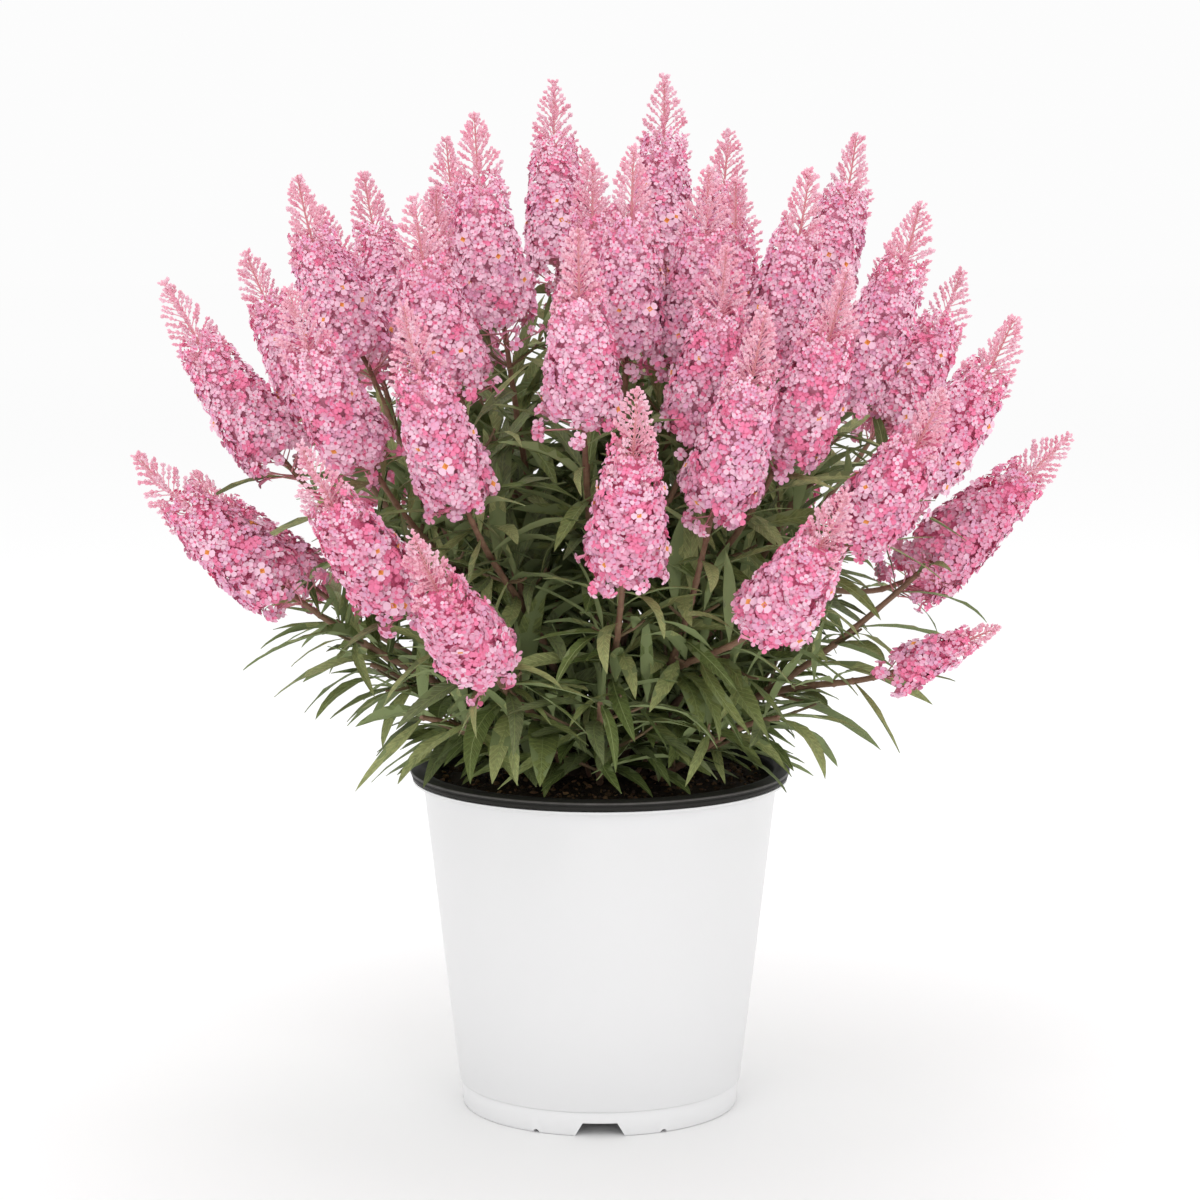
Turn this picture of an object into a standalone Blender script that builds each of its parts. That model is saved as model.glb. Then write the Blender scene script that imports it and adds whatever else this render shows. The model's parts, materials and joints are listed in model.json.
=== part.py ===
"""A butterfly bush in a nursery pot, in metres, +Z up.

The origin is the middle of the pot's underside, and the front of the bush faces -Y.
Bearings go round the pot in degrees: 0 is the front, and plus turns towards +X.
"""
import math
import random

import bmesh
import bpy
from mathutils import Vector
from mathutils.bvhtree import BVHTree

GAP = 0.0003                    # clearance between two pieces that touch
UP = Vector((0.0, 0.0, 1.0))
NEARLY_UPRIGHT = 0.05           # a direction this close to UP takes its side from X

# Pot
FOOT_RADIUS = 0.0837
FOOT_WIDTH = 0.0050
FOOT_RECESS = 0.0090            # the floor's underside above the ground
FOOT_DRAFT = 0.0006             # taper of the foot ring's inner side
STEP_HEIGHT = 0.0155            # top of the foot band
STEP_RADIUS = 0.0846
STEP_CHAMFER = 0.0005
WALL_FOOT_RADIUS = 0.0858
WALL_TOP_RADIUS = 0.1072
WALL_TOP = 0.2030
WALL = 0.0016
FLOOR = 0.0025
FLOOR_CORNER = 0.0004           # how much the wall thickens where it meets the floor
POT_SEGMENTS = 40

# Drainage notches in the foot: three wide ones, each with a small one at either side
NOTCH_COUNT = 3
NOTCH_WIDTH = 0.0300
NOTCH_TOP_WIDTH = 0.0205
NOTCH_HEIGHT = 0.0082
SMALL_NOTCH_OFFSET = 27.0       # degrees to either side of a wide notch
SMALL_NOTCH_WIDTH = 0.0040
SMALL_NOTCH_TOP_WIDTH = 0.0024
SMALL_NOTCH_HEIGHT = 0.0022
CUTTER_DROP = 0.0040            # how far a notch's cutter reaches below the ground

# Rolled rim, with the black inner skin that runs down inside the wall
RIM_RADIUS = 0.1150
RIM_BOTTOM = WALL_TOP + GAP
RIM_HEIGHT = 0.0080
RIM_FOOT_CHAMFER = 0.0011
RIM_SHOULDER = 0.0013           # the rolled edge: two steps in and down from its top
RIM_SHOULDER_DROP = 0.0007
RIM_ROLL = 0.0040
RIM_ROLL_DROP = 0.0026
RIM_INNER_ROLL = 0.0024
RIM_INNER_DROP = 0.0030
RIM_INNER_EASE = 0.0004
SKIN = 0.0012
SKIN_BOTTOM = 0.1780

# Potting mix and the woody crown that stands on it
MIX_TOP = 0.1960
MIX_RISE = 0.0015
CROWN_RADIUS = 0.0400
CROWN_HEIGHT = 0.0230
CROWN_BASE = MIX_TOP + MIX_RISE + GAP
CROWN_FLARE = 1.04              # the root flare at its flat foot, as a share of its radius
CROWN_RINGS = 4
CROWN_SEGMENTS = 24
CROWN_FLAT = 0.0450             # radius of the flat bed in the mix under the crown
MIX_SHOULDER = 0.0720           # radius where the mix starts to fall towards the wall
LIMB_SEAT = 1.5 * GAP           # a limb starts this far off the crown

# The dome that the flower tips reach: an ellipsoid over the pot
DOME_CENTRE = 0.3950
DOME_HALF_WIDTH = 0.2880
DOME_HALF_HEIGHT = 0.2380
LEAN_FROM = 0.1950              # leans are measured at this height on the pot's axis

# Spikes point away from a spot on the axis, which is higher for the low spikes
AIM_LOW = 0.1050
AIM_HIGH = 0.1850
AIM_LEANS = (36.0, 66.0)

# Flowering boughs. Each flower spike has its bearing, its lean from upright, how much of the
# dome it reaches, and its length.
BOUGHS = {
    "front_left_low": [(-20, 57, 1.0, 0.130), (-34, 51, 1.0, 0.130)],
    "left_low": [(-74, 53, 0.975, 0.125)],
    "left_rear_low": [(-113, 57, 0.97, 0.110)],
    "front_mid": [(4, 46, 1.0, 0.138)],
    "front_left": [(-24, 40, 1.0, 0.132), (-29, 30, 1.0, 0.118)],
    "left_mid": [(-42, 39, 1.0, 0.115), (-60, 28, 1.0, 0.120)],
    "left": [(-85, 40, 1.0, 0.130), (-117, 38, 1.0, 0.118), (-99, 26, 0.92, 0.110)],
    "front": [(-3, 33, 1.0, 0.120), (-4, 9, 0.88, 0.110)],
    "upper_front": [(6, 24, 1.0, 0.125), (21, 24, 0.97, 0.118), (20, 31, 0.94, 0.118)],
    "front_right": [(20, 40, 1.0, 0.136), (27, 54, 1.0, 0.122)],
    "right_front": [(33, 37, 1.0, 0.124), (37, 27, 1.0, 0.120)],
    "right_mid": [(42, 47, 1.0, 0.112)],
    "right": [(62, 42, 1.0, 0.118), (57, 31, 1.0, 0.128), (88, 28, 0.89, 0.110)],
    "right_low": [(76, 52, 0.98, 0.122), (56, 66, 1.0, 0.080)],
    "upper_left": [(-30, 19, 1.0, 0.128), (-80, 15, 0.87, 0.112)],
    "top": [(152, 11, 1.0, 0.125), (-163, 13, 1.0, 0.122), (68, 13, 0.87, 0.110)],
    "back_left": [(-146, 24, 1.0, 0.118), (-133, 29, 1.0, 0.118)],
    "back": [(-177, 26, 1.0, 0.118), (151, 23, 1.0, 0.118)],
    "right_back": [(111, 23, 1.0, 0.120), (118, 40, 1.0, 0.116), (103, 55, 0.94, 0.108)],
    "rear_mid": [(178, 46, 1.0, 0.122), (168, 35, 1.0, 0.118)],
    "rear_left": [(-152, 38, 1.0, 0.118), (-138, 49, 1.0, 0.118)],
    "rear_right": [(143, 40, 1.0, 0.118), (149, 54, 1.0, 0.118)],
    "rear_right_low": [(126, 52, 1.0, 0.118)],
    "rear_low": [(-166, 57, 1.0, 0.116)],
}
BOUGH_SHARE = 0.36              # how far up its way a bough forks into its shoots
BOUGH_FOOT_RADIUS = 0.0030
BOUGH_FORK_RADIUS = 0.0023
BOUGH_SIDES = 5
BOUGH_RINGS = 5
SHOOT_TIP_RADIUS = 0.0014
SHOOT_SIDES = 3
SHOOT_RINGS = 5
BRANCH_STEP = 0.016             # between the forks of one bough's shoots
PULL_AT_START = 0.33            # how long a limb keeps its first direction, of its span
PULL_AT_END = 0.40              # how long it runs in its last direction

# A flower spike: half width, its outline from foot to tip, and its facets
SPIKE_HALF_WIDTH = 0.0225
SPIKE_FULL_LENGTH = 0.1150      # a shorter spike is slimmer too
SPIKE_SLIMMEST = 0.35
SPIKE_OUTLINE = ((0.03, 0.64), (0.17, 1.0), (0.38, 0.94), (0.63, 0.66), (0.86, 0.32))
SPIKE_SIDES = 7
SPIKE_KNOBS = 0.10              # how much the florets stand in and out of the outline
SPIKE_STALK = 0.014             # how far the shoot runs up inside the spike

# Leafy shoots without flowers, evenly round the pot and arching over its rim
LEAFY_COUNT = 8
LEAFY_LEANS = (56.0, 64.0, 46.0)
LEAFY_LENGTH = 0.120
LEAFY_FOOT = 78.0               # how low on the crown they start, in degrees from its top
LEAFY_ARCH = 16.0               # how much further they lean at the tip, in degrees
SIDE_TWIGS = ((0.34, 46.0), (0.62, -46.0))
SIDE_TWIG_LENGTH = 0.052
SIDE_TWIG_RADIUS = 0.0013
SIDE_TWIG_TAPER = 0.8
SIDE_TWIG_RINGS = 3
SIDE_TWIG_TURN_IN = 0.3         # how much it comes round to its shoot's direction

# Leaves stand in opposite pairs, each pair turned a quarter from the last
LEAF_LENGTH = 0.076
LEAF_SPREAD = 0.14              # how much the length varies
LEAF_HALF_WIDTH = 0.0066
LEAF_THICKNESS = 0.0013
LEAF_WIDEST = 0.42
LEAF_ARCH = 0.11
LEAF_FOLD = 0.0010
LEAF_ANGLE = 52.0               # from the shoot
LEAF_ANGLE_SPREAD = 9.0
LEAF_TURN_SPREAD = 14.0         # degrees round the shoot
LEAF_DROOP = 0.30
LEAF_DROOP_SPREAD = 0.4
LEAF_PITCH = 0.040              # along the shoot, pair to pair
LEAF_FROM_FOOT = 0.006          # first pair above a shoot's foot
LEAF_FROM_FORK = 0.016          # first pair above a fork
LEAF_BELOW_SPIKE = 0.010        # last pair below a spike
LEAF_BELOW_TIP = 0.004          # last pair below a leafy shoot's tip
LEAF_BLADE_START = 0.30         # the share of a leaf next to its own shoot that may touch it
LEAF_ROOT = 0.0009              # how far the leaf's foot runs past the shoot's middle
LEAF_CLEAR = 0.0009             # a leaf keeps this far from every other piece
LEAF_LOWEST = 0.2020            # a leaf that would hang lower than this lies flatter
LEAF_NEAR = 1.2                 # leaves closer than this many lengths are tested together

SEED = 7

WHITE_PLASTIC = ((0.93, 0.93, 0.935), 0.35)
BLACK_PLASTIC = ((0.022, 0.022, 0.025), 0.38)
DARK_MIX = ((0.035, 0.022, 0.014), 0.95)
BARK = ((0.23, 0.13, 0.085), 0.80)
FLOWERING = ((0.80, 0.35, 0.52), 0.70)
LEAFY = ((0.13, 0.18, 0.07), 0.60)


def clear_scene():
    for old in list(bpy.data.objects):
        bpy.data.objects.remove(old, do_unlink=True)


def material(name, colour_and_roughness):
    colour, roughness = colour_and_roughness
    made = bpy.data.materials.new(name)
    made.use_nodes = True
    shader = made.node_tree.nodes["Principled BSDF"]
    shader.inputs["Base Color"].default_value = (*colour, 1.0)
    shader.inputs["Roughness"].default_value = roughness
    shader.inputs["Metallic"].default_value = 0.0
    made.diffuse_color = (*colour, 1.0)
    return made


def solid(name, verts, faces, smooth_angle=None):
    """One object from a closed skin, with its faces turned outwards."""
    mesh = bpy.data.meshes.new(name)
    mesh.from_pydata([tuple(v) for v in verts], [], faces)
    shell = bmesh.new()
    shell.from_mesh(mesh)
    bmesh.ops.recalc_face_normals(shell, faces=shell.faces)
    shell.to_mesh(mesh)
    shell.free()
    made = bpy.data.objects.new(name, mesh)
    bpy.context.scene.collection.objects.link(made)
    if smooth_angle is not None:
        mesh.shade_smooth()
        mesh.set_sharp_from_angle(angle=math.radians(smooth_angle))
    return made


def compass(bearing, lean):
    """Unit direction at a bearing round the pot and a lean from upright, in degrees."""
    turn = math.radians(bearing)
    tilt = math.radians(lean)
    return Vector((math.sin(turn) * math.sin(tilt), -math.cos(turn) * math.sin(tilt), math.cos(tilt)))


def across(direction, turn):
    """Unit vector square to a direction, turned about it by an angle in degrees."""
    level = direction.cross(UP)
    if level.length < NEARLY_UPRIGHT:
        level = Vector((1.0, 0.0, 0.0))
    level.normalize()
    upper = level.cross(direction).normalized()
    return level * math.cos(math.radians(turn)) + upper * math.sin(math.radians(turn))


def turned(profile, segments):
    """Skin of a profile of (radius, height) turned about Z. A radius of 0 is one point."""
    verts = []
    rings = []
    for radius, height in profile:
        if radius == 0.0:
            rings.append([len(verts)] * segments)
            verts.append(Vector((0.0, 0.0, height)))
            continue
        rings.append(list(range(len(verts), len(verts) + segments)))
        for step in range(segments):
            turn = 2.0 * math.pi * step / segments
            verts.append(Vector((radius * math.cos(turn), radius * math.sin(turn), height)))
    open_ended = profile[0][0] == 0.0
    pairs = list(zip(rings, rings[1:] if open_ended else rings[1:] + rings[:1]))
    faces = []
    for lower, upper in pairs:
        for step in range(segments):
            after = (step + 1) % segments
            corners = [lower[step], lower[after], upper[after], upper[step]]
            face = [c for i, c in enumerate(corners) if c not in corners[:i]]
            faces.append(face)
    return verts, faces


# Pot

def wall_radius(height):
    share = (height - STEP_HEIGHT) / (WALL_TOP - STEP_HEIGHT)
    return WALL_FOOT_RADIUS + share * (WALL_TOP_RADIUS - WALL_FOOT_RADIUS)


def notch_cutter(name, bearing, width, top_width, height):
    """A trapezium that runs out through the foot ring."""
    inner = FOOT_RADIUS - 3.0 * FOOT_WIDTH
    outer = FOOT_RADIUS + FOOT_WIDTH
    low_width = width + (width - top_width) / height * CUTTER_DROP
    section = ((-low_width / 2, -CUTTER_DROP), (low_width / 2, -CUTTER_DROP),
               (top_width / 2, height), (-top_width / 2, height))
    out = compass(bearing, 90.0)
    along = Vector((-out.y, out.x, 0.0))
    verts = []
    for reach in (inner, outer):
        for side, level in section:
            verts.append(out * reach + along * side + UP * level)
    faces = [(0, 1, 2, 3), (7, 6, 5, 4)]
    for corner in range(4):
        after = (corner + 1) % 4
        faces.append((corner, corner + 4, after + 4, after))
    return solid(name, verts, faces)


def pot_wall():
    inside_floor = FOOT_RECESS + FLOOR
    profile = (
        (0.0, FOOT_RECESS),
        (FOOT_RADIUS - FOOT_WIDTH - FOOT_DRAFT, FOOT_RECESS),
        (FOOT_RADIUS - FOOT_WIDTH, 0.0),
        (FOOT_RADIUS, 0.0),
        (STEP_RADIUS, STEP_HEIGHT - STEP_CHAMFER),
        (WALL_FOOT_RADIUS, STEP_HEIGHT),
        (WALL_TOP_RADIUS, WALL_TOP),
        (WALL_TOP_RADIUS - WALL, WALL_TOP),
        (wall_radius(inside_floor) - WALL - FLOOR_CORNER, inside_floor),
        (0.0, inside_floor),
    )
    pot = solid("pot_wall", *turned(profile, POT_SEGMENTS))
    cutters = []
    for index in range(NOTCH_COUNT):
        bearing = index * 360.0 / NOTCH_COUNT
        cutters.append(notch_cutter(f"cut_{index}", bearing, NOTCH_WIDTH, NOTCH_TOP_WIDTH, NOTCH_HEIGHT))
        for side in (-1, 1):
            cutters.append(notch_cutter(f"cut_{index}_{side}", bearing + side * SMALL_NOTCH_OFFSET,
                                        SMALL_NOTCH_WIDTH, SMALL_NOTCH_TOP_WIDTH, SMALL_NOTCH_HEIGHT))
    for cutter in cutters:
        cut = pot.modifiers.new(cutter.name, "BOOLEAN")
        cut.operation = "DIFFERENCE"
        cut.solver = "EXACT"
        cut.object = cutter
    keep_evaluated(pot)
    for cutter in cutters:
        bpy.data.objects.remove(cutter, do_unlink=True)
    pot.data.shade_smooth()
    pot.data.set_sharp_from_angle(angle=math.radians(30.0))
    pot.data.materials.append(material("white_plastic", WHITE_PLASTIC))
    return pot


def skin_radius(height):
    """Outer radius of the black inner skin."""
    return wall_radius(height) - WALL - GAP


def pot_rim():
    top = RIM_BOTTOM + RIM_HEIGHT
    lip = skin_radius(RIM_BOTTOM)
    profile = (
        (skin_radius(SKIN_BOTTOM), SKIN_BOTTOM),
        (lip, RIM_BOTTOM),
        (RIM_RADIUS - RIM_FOOT_CHAMFER, RIM_BOTTOM),
        (RIM_RADIUS, RIM_BOTTOM + RIM_FOOT_CHAMFER),
        (RIM_RADIUS, top - RIM_ROLL_DROP),
        (RIM_RADIUS - RIM_SHOULDER, top - RIM_SHOULDER_DROP),
        (RIM_RADIUS - RIM_ROLL, top),
        (lip + RIM_INNER_ROLL, top - RIM_SHOULDER_DROP),
        (lip - RIM_INNER_EASE, top - RIM_INNER_DROP),
        (lip - SKIN, RIM_BOTTOM - SKIN),
        (skin_radius(SKIN_BOTTOM) - SKIN, SKIN_BOTTOM),
    )
    rim = solid("pot_rim", *turned(profile, POT_SEGMENTS), smooth_angle=50.0)
    rim.data.materials.append(material("black_plastic", BLACK_PLASTIC))
    return rim


def potting_mix():
    bottom = FOOT_RECESS + FLOOR + GAP
    shoulder = SKIN_BOTTOM - GAP
    profile = (
        (0.0, bottom),
        (wall_radius(bottom) - WALL - FLOOR_CORNER - 2.0 * GAP, bottom),
        (wall_radius(shoulder) - WALL - 2.0 * GAP, shoulder),
        (skin_radius(shoulder) - SKIN - 2.0 * GAP, shoulder),
        (skin_radius(MIX_TOP) - SKIN - 2.0 * GAP, MIX_TOP),
        (MIX_SHOULDER, MIX_TOP + 0.5 * MIX_RISE),
        (CROWN_FLAT, MIX_TOP + MIX_RISE),
        (0.0, MIX_TOP + MIX_RISE),
    )
    mix = solid("potting_mix", *turned(profile, POT_SEGMENTS), smooth_angle=30.0)
    mix.data.materials.append(material("potting_mix", DARK_MIX))
    return mix


# Crown, boughs and shoots

def crown_point(bearing, lean):
    """Point on the crown's dome, and the direction straight out of it."""
    out = compass(bearing, lean)
    place = Vector((out.x * CROWN_RADIUS, out.y * CROWN_RADIUS, out.z * CROWN_HEIGHT))
    straight = Vector((place.x / CROWN_RADIUS ** 2, place.y / CROWN_RADIUS ** 2,
                       place.z / CROWN_HEIGHT ** 2)).normalized()
    return place + UP * CROWN_BASE, straight


def crown():
    """The low woody stump that every limb grows from."""
    profile = [(0.0, CROWN_BASE), (CROWN_RADIUS * CROWN_FLARE, CROWN_BASE)]
    for ring in range(1, CROWN_RINGS):
        tilt = math.radians(90.0 * (1.0 - ring / CROWN_RINGS))
        profile.append((CROWN_RADIUS * math.sin(tilt), CROWN_BASE + CROWN_HEIGHT * math.cos(tilt)))
    profile.append((0.0, CROWN_BASE + CROWN_HEIGHT))
    stump = solid("crown", *turned(profile, CROWN_SEGMENTS), smooth_angle=40.0)
    stump.data.materials.append(material("crown_bark", BARK))
    return stump


def dome_tip(bearing, lean, share):
    """Where a spike's tip meets the dome, pulled in to a share of its reach."""
    out = compass(bearing, lean)
    low = LEAN_FROM - DOME_CENTRE
    square = (out.x ** 2 + out.y ** 2) / DOME_HALF_WIDTH ** 2 + (out.z / DOME_HALF_HEIGHT) ** 2
    half = low * out.z / DOME_HALF_HEIGHT ** 2
    rest = (low / DOME_HALF_HEIGHT) ** 2 - 1.0
    reach = (-half + math.sqrt(half ** 2 - square * rest)) / square
    return UP * LEAN_FROM + out * reach * share


def spike_line(bearing, lean, share, length):
    """Foot, tip and direction of one flower spike."""
    tip = dome_tip(bearing, lean, share)
    low, high = AIM_LEANS
    blend = min(max((lean - low) / (high - low), 0.0), 1.0)
    along = (tip - UP * (AIM_LOW + blend * (AIM_HIGH - AIM_LOW))).normalized()
    return tip - along * length, tip, along


def bend(start, start_way, end, end_way, steps, stop=1.0):
    """Points of a limb that leaves its start one way and arrives at its end another way."""
    span = (end - start).length
    first = start + start_way * span * PULL_AT_START
    second = end - end_way * span * PULL_AT_END
    points = []
    for step in range(steps + 1):
        t = stop * step / steps
        s = 1.0 - t
        points.append(start * s ** 3 + first * 3 * s * s * t + second * 3 * s * t * t + end * t ** 3)
    return points


def way_along(points, index):
    before = points[max(index - 1, 0)]
    after = points[min(index + 1, len(points) - 1)]
    return (after - before).normalized()


def tube(points, start_radius, end_radius, sides):
    """Closed tapering skin along points."""
    verts = []
    faces = []
    last = len(points) - 1
    side = across(way_along(points, 0), 0.0)
    for index, point in enumerate(points):
        along = way_along(points, index)
        side = (side - along * side.dot(along)).normalized()
        upper = side.cross(along)
        radius = start_radius + (end_radius - start_radius) * index / last
        for corner in range(sides):
            turn = 2.0 * math.pi * corner / sides
            verts.append(point + (side * math.cos(turn) + upper * math.sin(turn)) * radius)
    for ring in range(last):
        for corner in range(sides):
            after = (corner + 1) % sides
            low = ring * sides
            high = low + sides
            faces.append((low + corner, low + after, high + after, high + corner))
    faces.append(tuple(range(sides)))
    faces.append(tuple(last * sides + corner for corner in range(sides)))
    return verts, faces


def spike_skin(foot, tip, along, rng):
    """Knobbly closed cone of florets."""
    length = (tip - foot).length
    fullness = SPIKE_SLIMMEST + (1.0 - SPIKE_SLIMMEST) * length / SPIKE_FULL_LENGTH
    width = SPIKE_HALF_WIDTH * min(1.0, fullness)
    side = across(along, 0.0)
    upper = side.cross(along)
    verts = [foot]
    for ring, (share, bulge) in enumerate(SPIKE_OUTLINE):
        for corner in range(SPIKE_SIDES):
            turn = 2.0 * math.pi * (corner + 0.5 * (ring % 2)) / SPIKE_SIDES
            radius = width * bulge * (1.0 + rng.uniform(-SPIKE_KNOBS, SPIKE_KNOBS))
            outwards = side * math.cos(turn) + upper * math.sin(turn)
            verts.append(foot + along * length * share + outwards * radius)
    verts.append(tip)
    faces = []
    for corner in range(SPIKE_SIDES):
        after = (corner + 1) % SPIKE_SIDES
        faces.append((0, 1 + corner, 1 + after))
        end = 1 + (len(SPIKE_OUTLINE) - 1) * SPIKE_SIDES
        faces.append((end + corner, len(verts) - 1, end + after))
        for ring in range(len(SPIKE_OUTLINE) - 1):
            low = 1 + ring * SPIKE_SIDES
            high = low + SPIKE_SIDES
            if ring % 2 == 0:
                faces.append((low + corner, high + corner, low + after))
                faces.append((low + after, high + corner, high + after))
            else:
                faces.append((low + corner, high + corner, high + after))
                faces.append((low + corner, high + after, low + after))
    return verts, faces


def leaf_skin(root, outwards, length, grow=0.0, start=0.0):
    """Narrow pointed leaf of eight faces, folded along its midrib and arched."""
    level = outwards.cross(UP).normalized()
    above = level.cross(outwards).normalized()
    half = LEAF_HALF_WIDTH * length / LEAF_LENGTH + grow
    thick = LEAF_THICKNESS / 2 + grow
    widest = root + outwards * length * LEAF_WIDEST + above * length * LEAF_ARCH
    foot = root + (widest - root) * start
    verts = [
        foot,
        root + outwards * (length + grow),
        widest + level * half + above * LEAF_FOLD,
        widest - level * half + above * LEAF_FOLD,
        widest + above * thick,
        widest - above * thick,
    ]
    faces = [(0, 4, 2), (0, 3, 4), (0, 2, 5), (0, 5, 3), (1, 2, 4), (1, 4, 3), (1, 5, 2), (1, 3, 5)]
    return verts, faces


def place_on(points, distance):
    """Point and direction at a distance along a limb."""
    for before, after in zip(points, points[1:]):
        step = (after - before).length
        if distance <= step:
            break
        distance -= step
    return before.lerp(after, distance / step), (after - before).normalized()


def length_of(points):
    return sum((after - before).length for before, after in zip(points, points[1:]))


def leaf_places(points, first, last, rng, turn):
    """Roots and directions of opposite leaf pairs along a shoot."""
    places = []
    distance = first
    while distance < length_of(points) - last:
        middle, along = place_on(points, distance)
        for half_turn in (0.0, 180.0):
            side = across(along, turn + half_turn + rng.uniform(-LEAF_TURN_SPREAD, LEAF_TURN_SPREAD))
            tilt = math.radians(LEAF_ANGLE + rng.uniform(-LEAF_ANGLE_SPREAD, LEAF_ANGLE_SPREAD))
            outwards = along * math.cos(tilt) + side * math.sin(tilt)
            droop = LEAF_DROOP * (1.0 + rng.uniform(-LEAF_DROOP_SPREAD, LEAF_DROOP_SPREAD))
            outwards.z -= droop * (1.0 - outwards.z ** 2)
            outwards.normalize()
            length = LEAF_LENGTH * (1.0 + rng.uniform(-LEAF_SPREAD, LEAF_SPREAD))
            flattest = (LEAF_LOWEST - middle.z) / length
            if outwards.z < flattest:
                level = Vector((outwards.x, outwards.y, 0.0)).normalized()
                outwards = (level + UP * flattest).normalized()
            places.append((middle - outwards * LEAF_ROOT, outwards, length))
        turn += 90.0
        distance += LEAF_PITCH
    return places


def tree_of(verts, faces):
    return BVHTree.FromPolygons([tuple(v) for v in verts], faces)


class Bed:
    """Every piece that stands so far, to keep new growth clear of it."""

    def __init__(self):
        self.verts = []
        self.faces = []
        self.owners = []
        self.limbs = None
        self.growth = []

    def add(self, owner, skin):
        verts, faces = skin
        first = len(self.verts)
        self.verts.extend(verts)
        self.faces.extend(tuple(first + corner for corner in face) for face in faces)
        self.owners.extend([owner] * len(faces))

    def settle(self):
        self.limbs = tree_of(self.verts, self.faces)

    def meets_others(self, owner, tree):
        return any(self.owners[hit] != owner for hit, _ in self.limbs.overlap(tree))

    def leaf_fits(self, owner, root, outwards, length):
        """True where a leaf touches nothing but the shoot at its own foot."""
        if self.meets_others(owner, tree_of(*leaf_skin(root, outwards, length, LEAF_CLEAR))):
            return False
        blade = tree_of(*leaf_skin(root, outwards, length, LEAF_CLEAR, start=LEAF_BLADE_START))
        if self.limbs.overlap(blade):
            return False
        middle = root + outwards * length / 2
        return not any((place - middle).length < LEAF_NEAR * length and other.overlap(blade)
                       for place, other in self.growth)

    def twig_fits(self, owner, points):
        radius = SIDE_TWIG_RADIUS + LEAF_CLEAR
        twig = tree_of(*tube(points, radius, radius, SHOOT_SIDES))
        return not self.meets_others(owner, twig) and not any(
            other.overlap(twig) for _, other in self.growth)

    def keep(self, middle, skin):
        """Remember a leaf or twig that was placed, and return its skin."""
        self.growth.append((middle, tree_of(*skin)))
        return skin


# Boughs and what grows from them

def bough_way(spikes):
    """Points of a bough from the crown to its fork."""
    lines = [spike_line(*spike) for spike in spikes]
    middle = sum((foot for foot, _, _ in lines), Vector()) / len(lines)
    way = sum((along for _, _, along in lines), Vector()).normalized()
    bearing = math.degrees(math.atan2(middle.x, -middle.y))
    lean = math.degrees(math.atan2(math.hypot(middle.x, middle.y), middle.z - LEAN_FROM))
    start, straight = crown_point(bearing, lean)
    return bend(start + straight * LIMB_SEAT, straight, middle, way, BOUGH_RINGS, BOUGH_SHARE)


def shoots_of(bough, spikes):
    """The stem and the shoots that go on from a bough, each as points that end inside its spike."""
    way = way_along(bough, len(bough) - 1)
    shoots = []
    for index, spike in enumerate(spikes):
        foot, _, along = spike_line(*spike)
        start = bough[-1] + way * GAP
        leave = way
        if index > 0:
            start, leave = place_on(shoots[0], BRANCH_STEP * index)
            leave = (leave + (foot - start).normalized()).normalized()
        shoots.append(bend(start, leave, foot + along * SPIKE_STALK, along, SHOOT_RINGS))
    return shoots


def leafy_way(index):
    """Points of one leafy shoot from the crown."""
    bearing = index * 360.0 / LEAFY_COUNT
    lean = LEAFY_LEANS[index % len(LEAFY_LEANS)]
    start, straight = crown_point(bearing, LEAFY_FOOT)
    start += straight * LIMB_SEAT
    end = start + compass(bearing, lean) * LEAFY_LENGTH
    return bend(start, straight, end, compass(bearing, lean + LEAFY_ARCH), SHOOT_RINGS)


def side_twig(points, share, turn):
    """Points of a short twig that leaves a leafy shoot sideways."""
    index = int(share * (len(points) - 1))
    start = points[index]
    along = way_along(points, index)
    away = along.cross(UP).normalized()
    way = along * math.cos(math.radians(turn)) + away * math.sin(math.radians(turn))
    end_way = (way + along * SIDE_TWIG_TURN_IN).normalized()
    return bend(start, way, start + way * SIDE_TWIG_LENGTH, end_way, SIDE_TWIG_RINGS)


def keep_evaluated(piece):
    """Replace a piece's mesh by what its modifiers make of it."""
    bpy.context.view_layer.update()
    evaluated = piece.evaluated_get(bpy.context.evaluated_depsgraph_get())
    mesh = bpy.data.meshes.new_from_object(evaluated)
    piece.modifiers.clear()
    piece.data = mesh


def fuse(name, skins, look):
    """Join a stem with its twigs, leaves and spikes into one closed body."""
    stem = solid(name, *skins[0])
    growth = bpy.data.collections.new(f"{name}_growth")
    bpy.context.scene.collection.children.link(growth)
    for index, skin in enumerate(skins[1:]):
        piece = solid(f"{name}_{index}", *skin)
        bpy.context.scene.collection.objects.unlink(piece)
        growth.objects.link(piece)
    join = stem.modifiers.new("join", "BOOLEAN")
    join.operation = "UNION"
    join.operand_type = "COLLECTION"
    join.collection = growth
    join.solver = "EXACT"
    keep_evaluated(stem)
    for piece in list(growth.objects):
        bpy.data.objects.remove(piece, do_unlink=True)
    bpy.data.collections.remove(growth)
    stem.data.materials.clear()
    stem.data.materials.append(material(f"{name}_look", look))


def set_out_pot(bed):
    for piece in (pot_wall(), pot_rim(), potting_mix(), crown()):
        verts = [vertex.co.copy() for vertex in piece.data.vertices]
        bed.add(piece.name, (verts, [tuple(face.vertices) for face in piece.data.polygons]))


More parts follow.
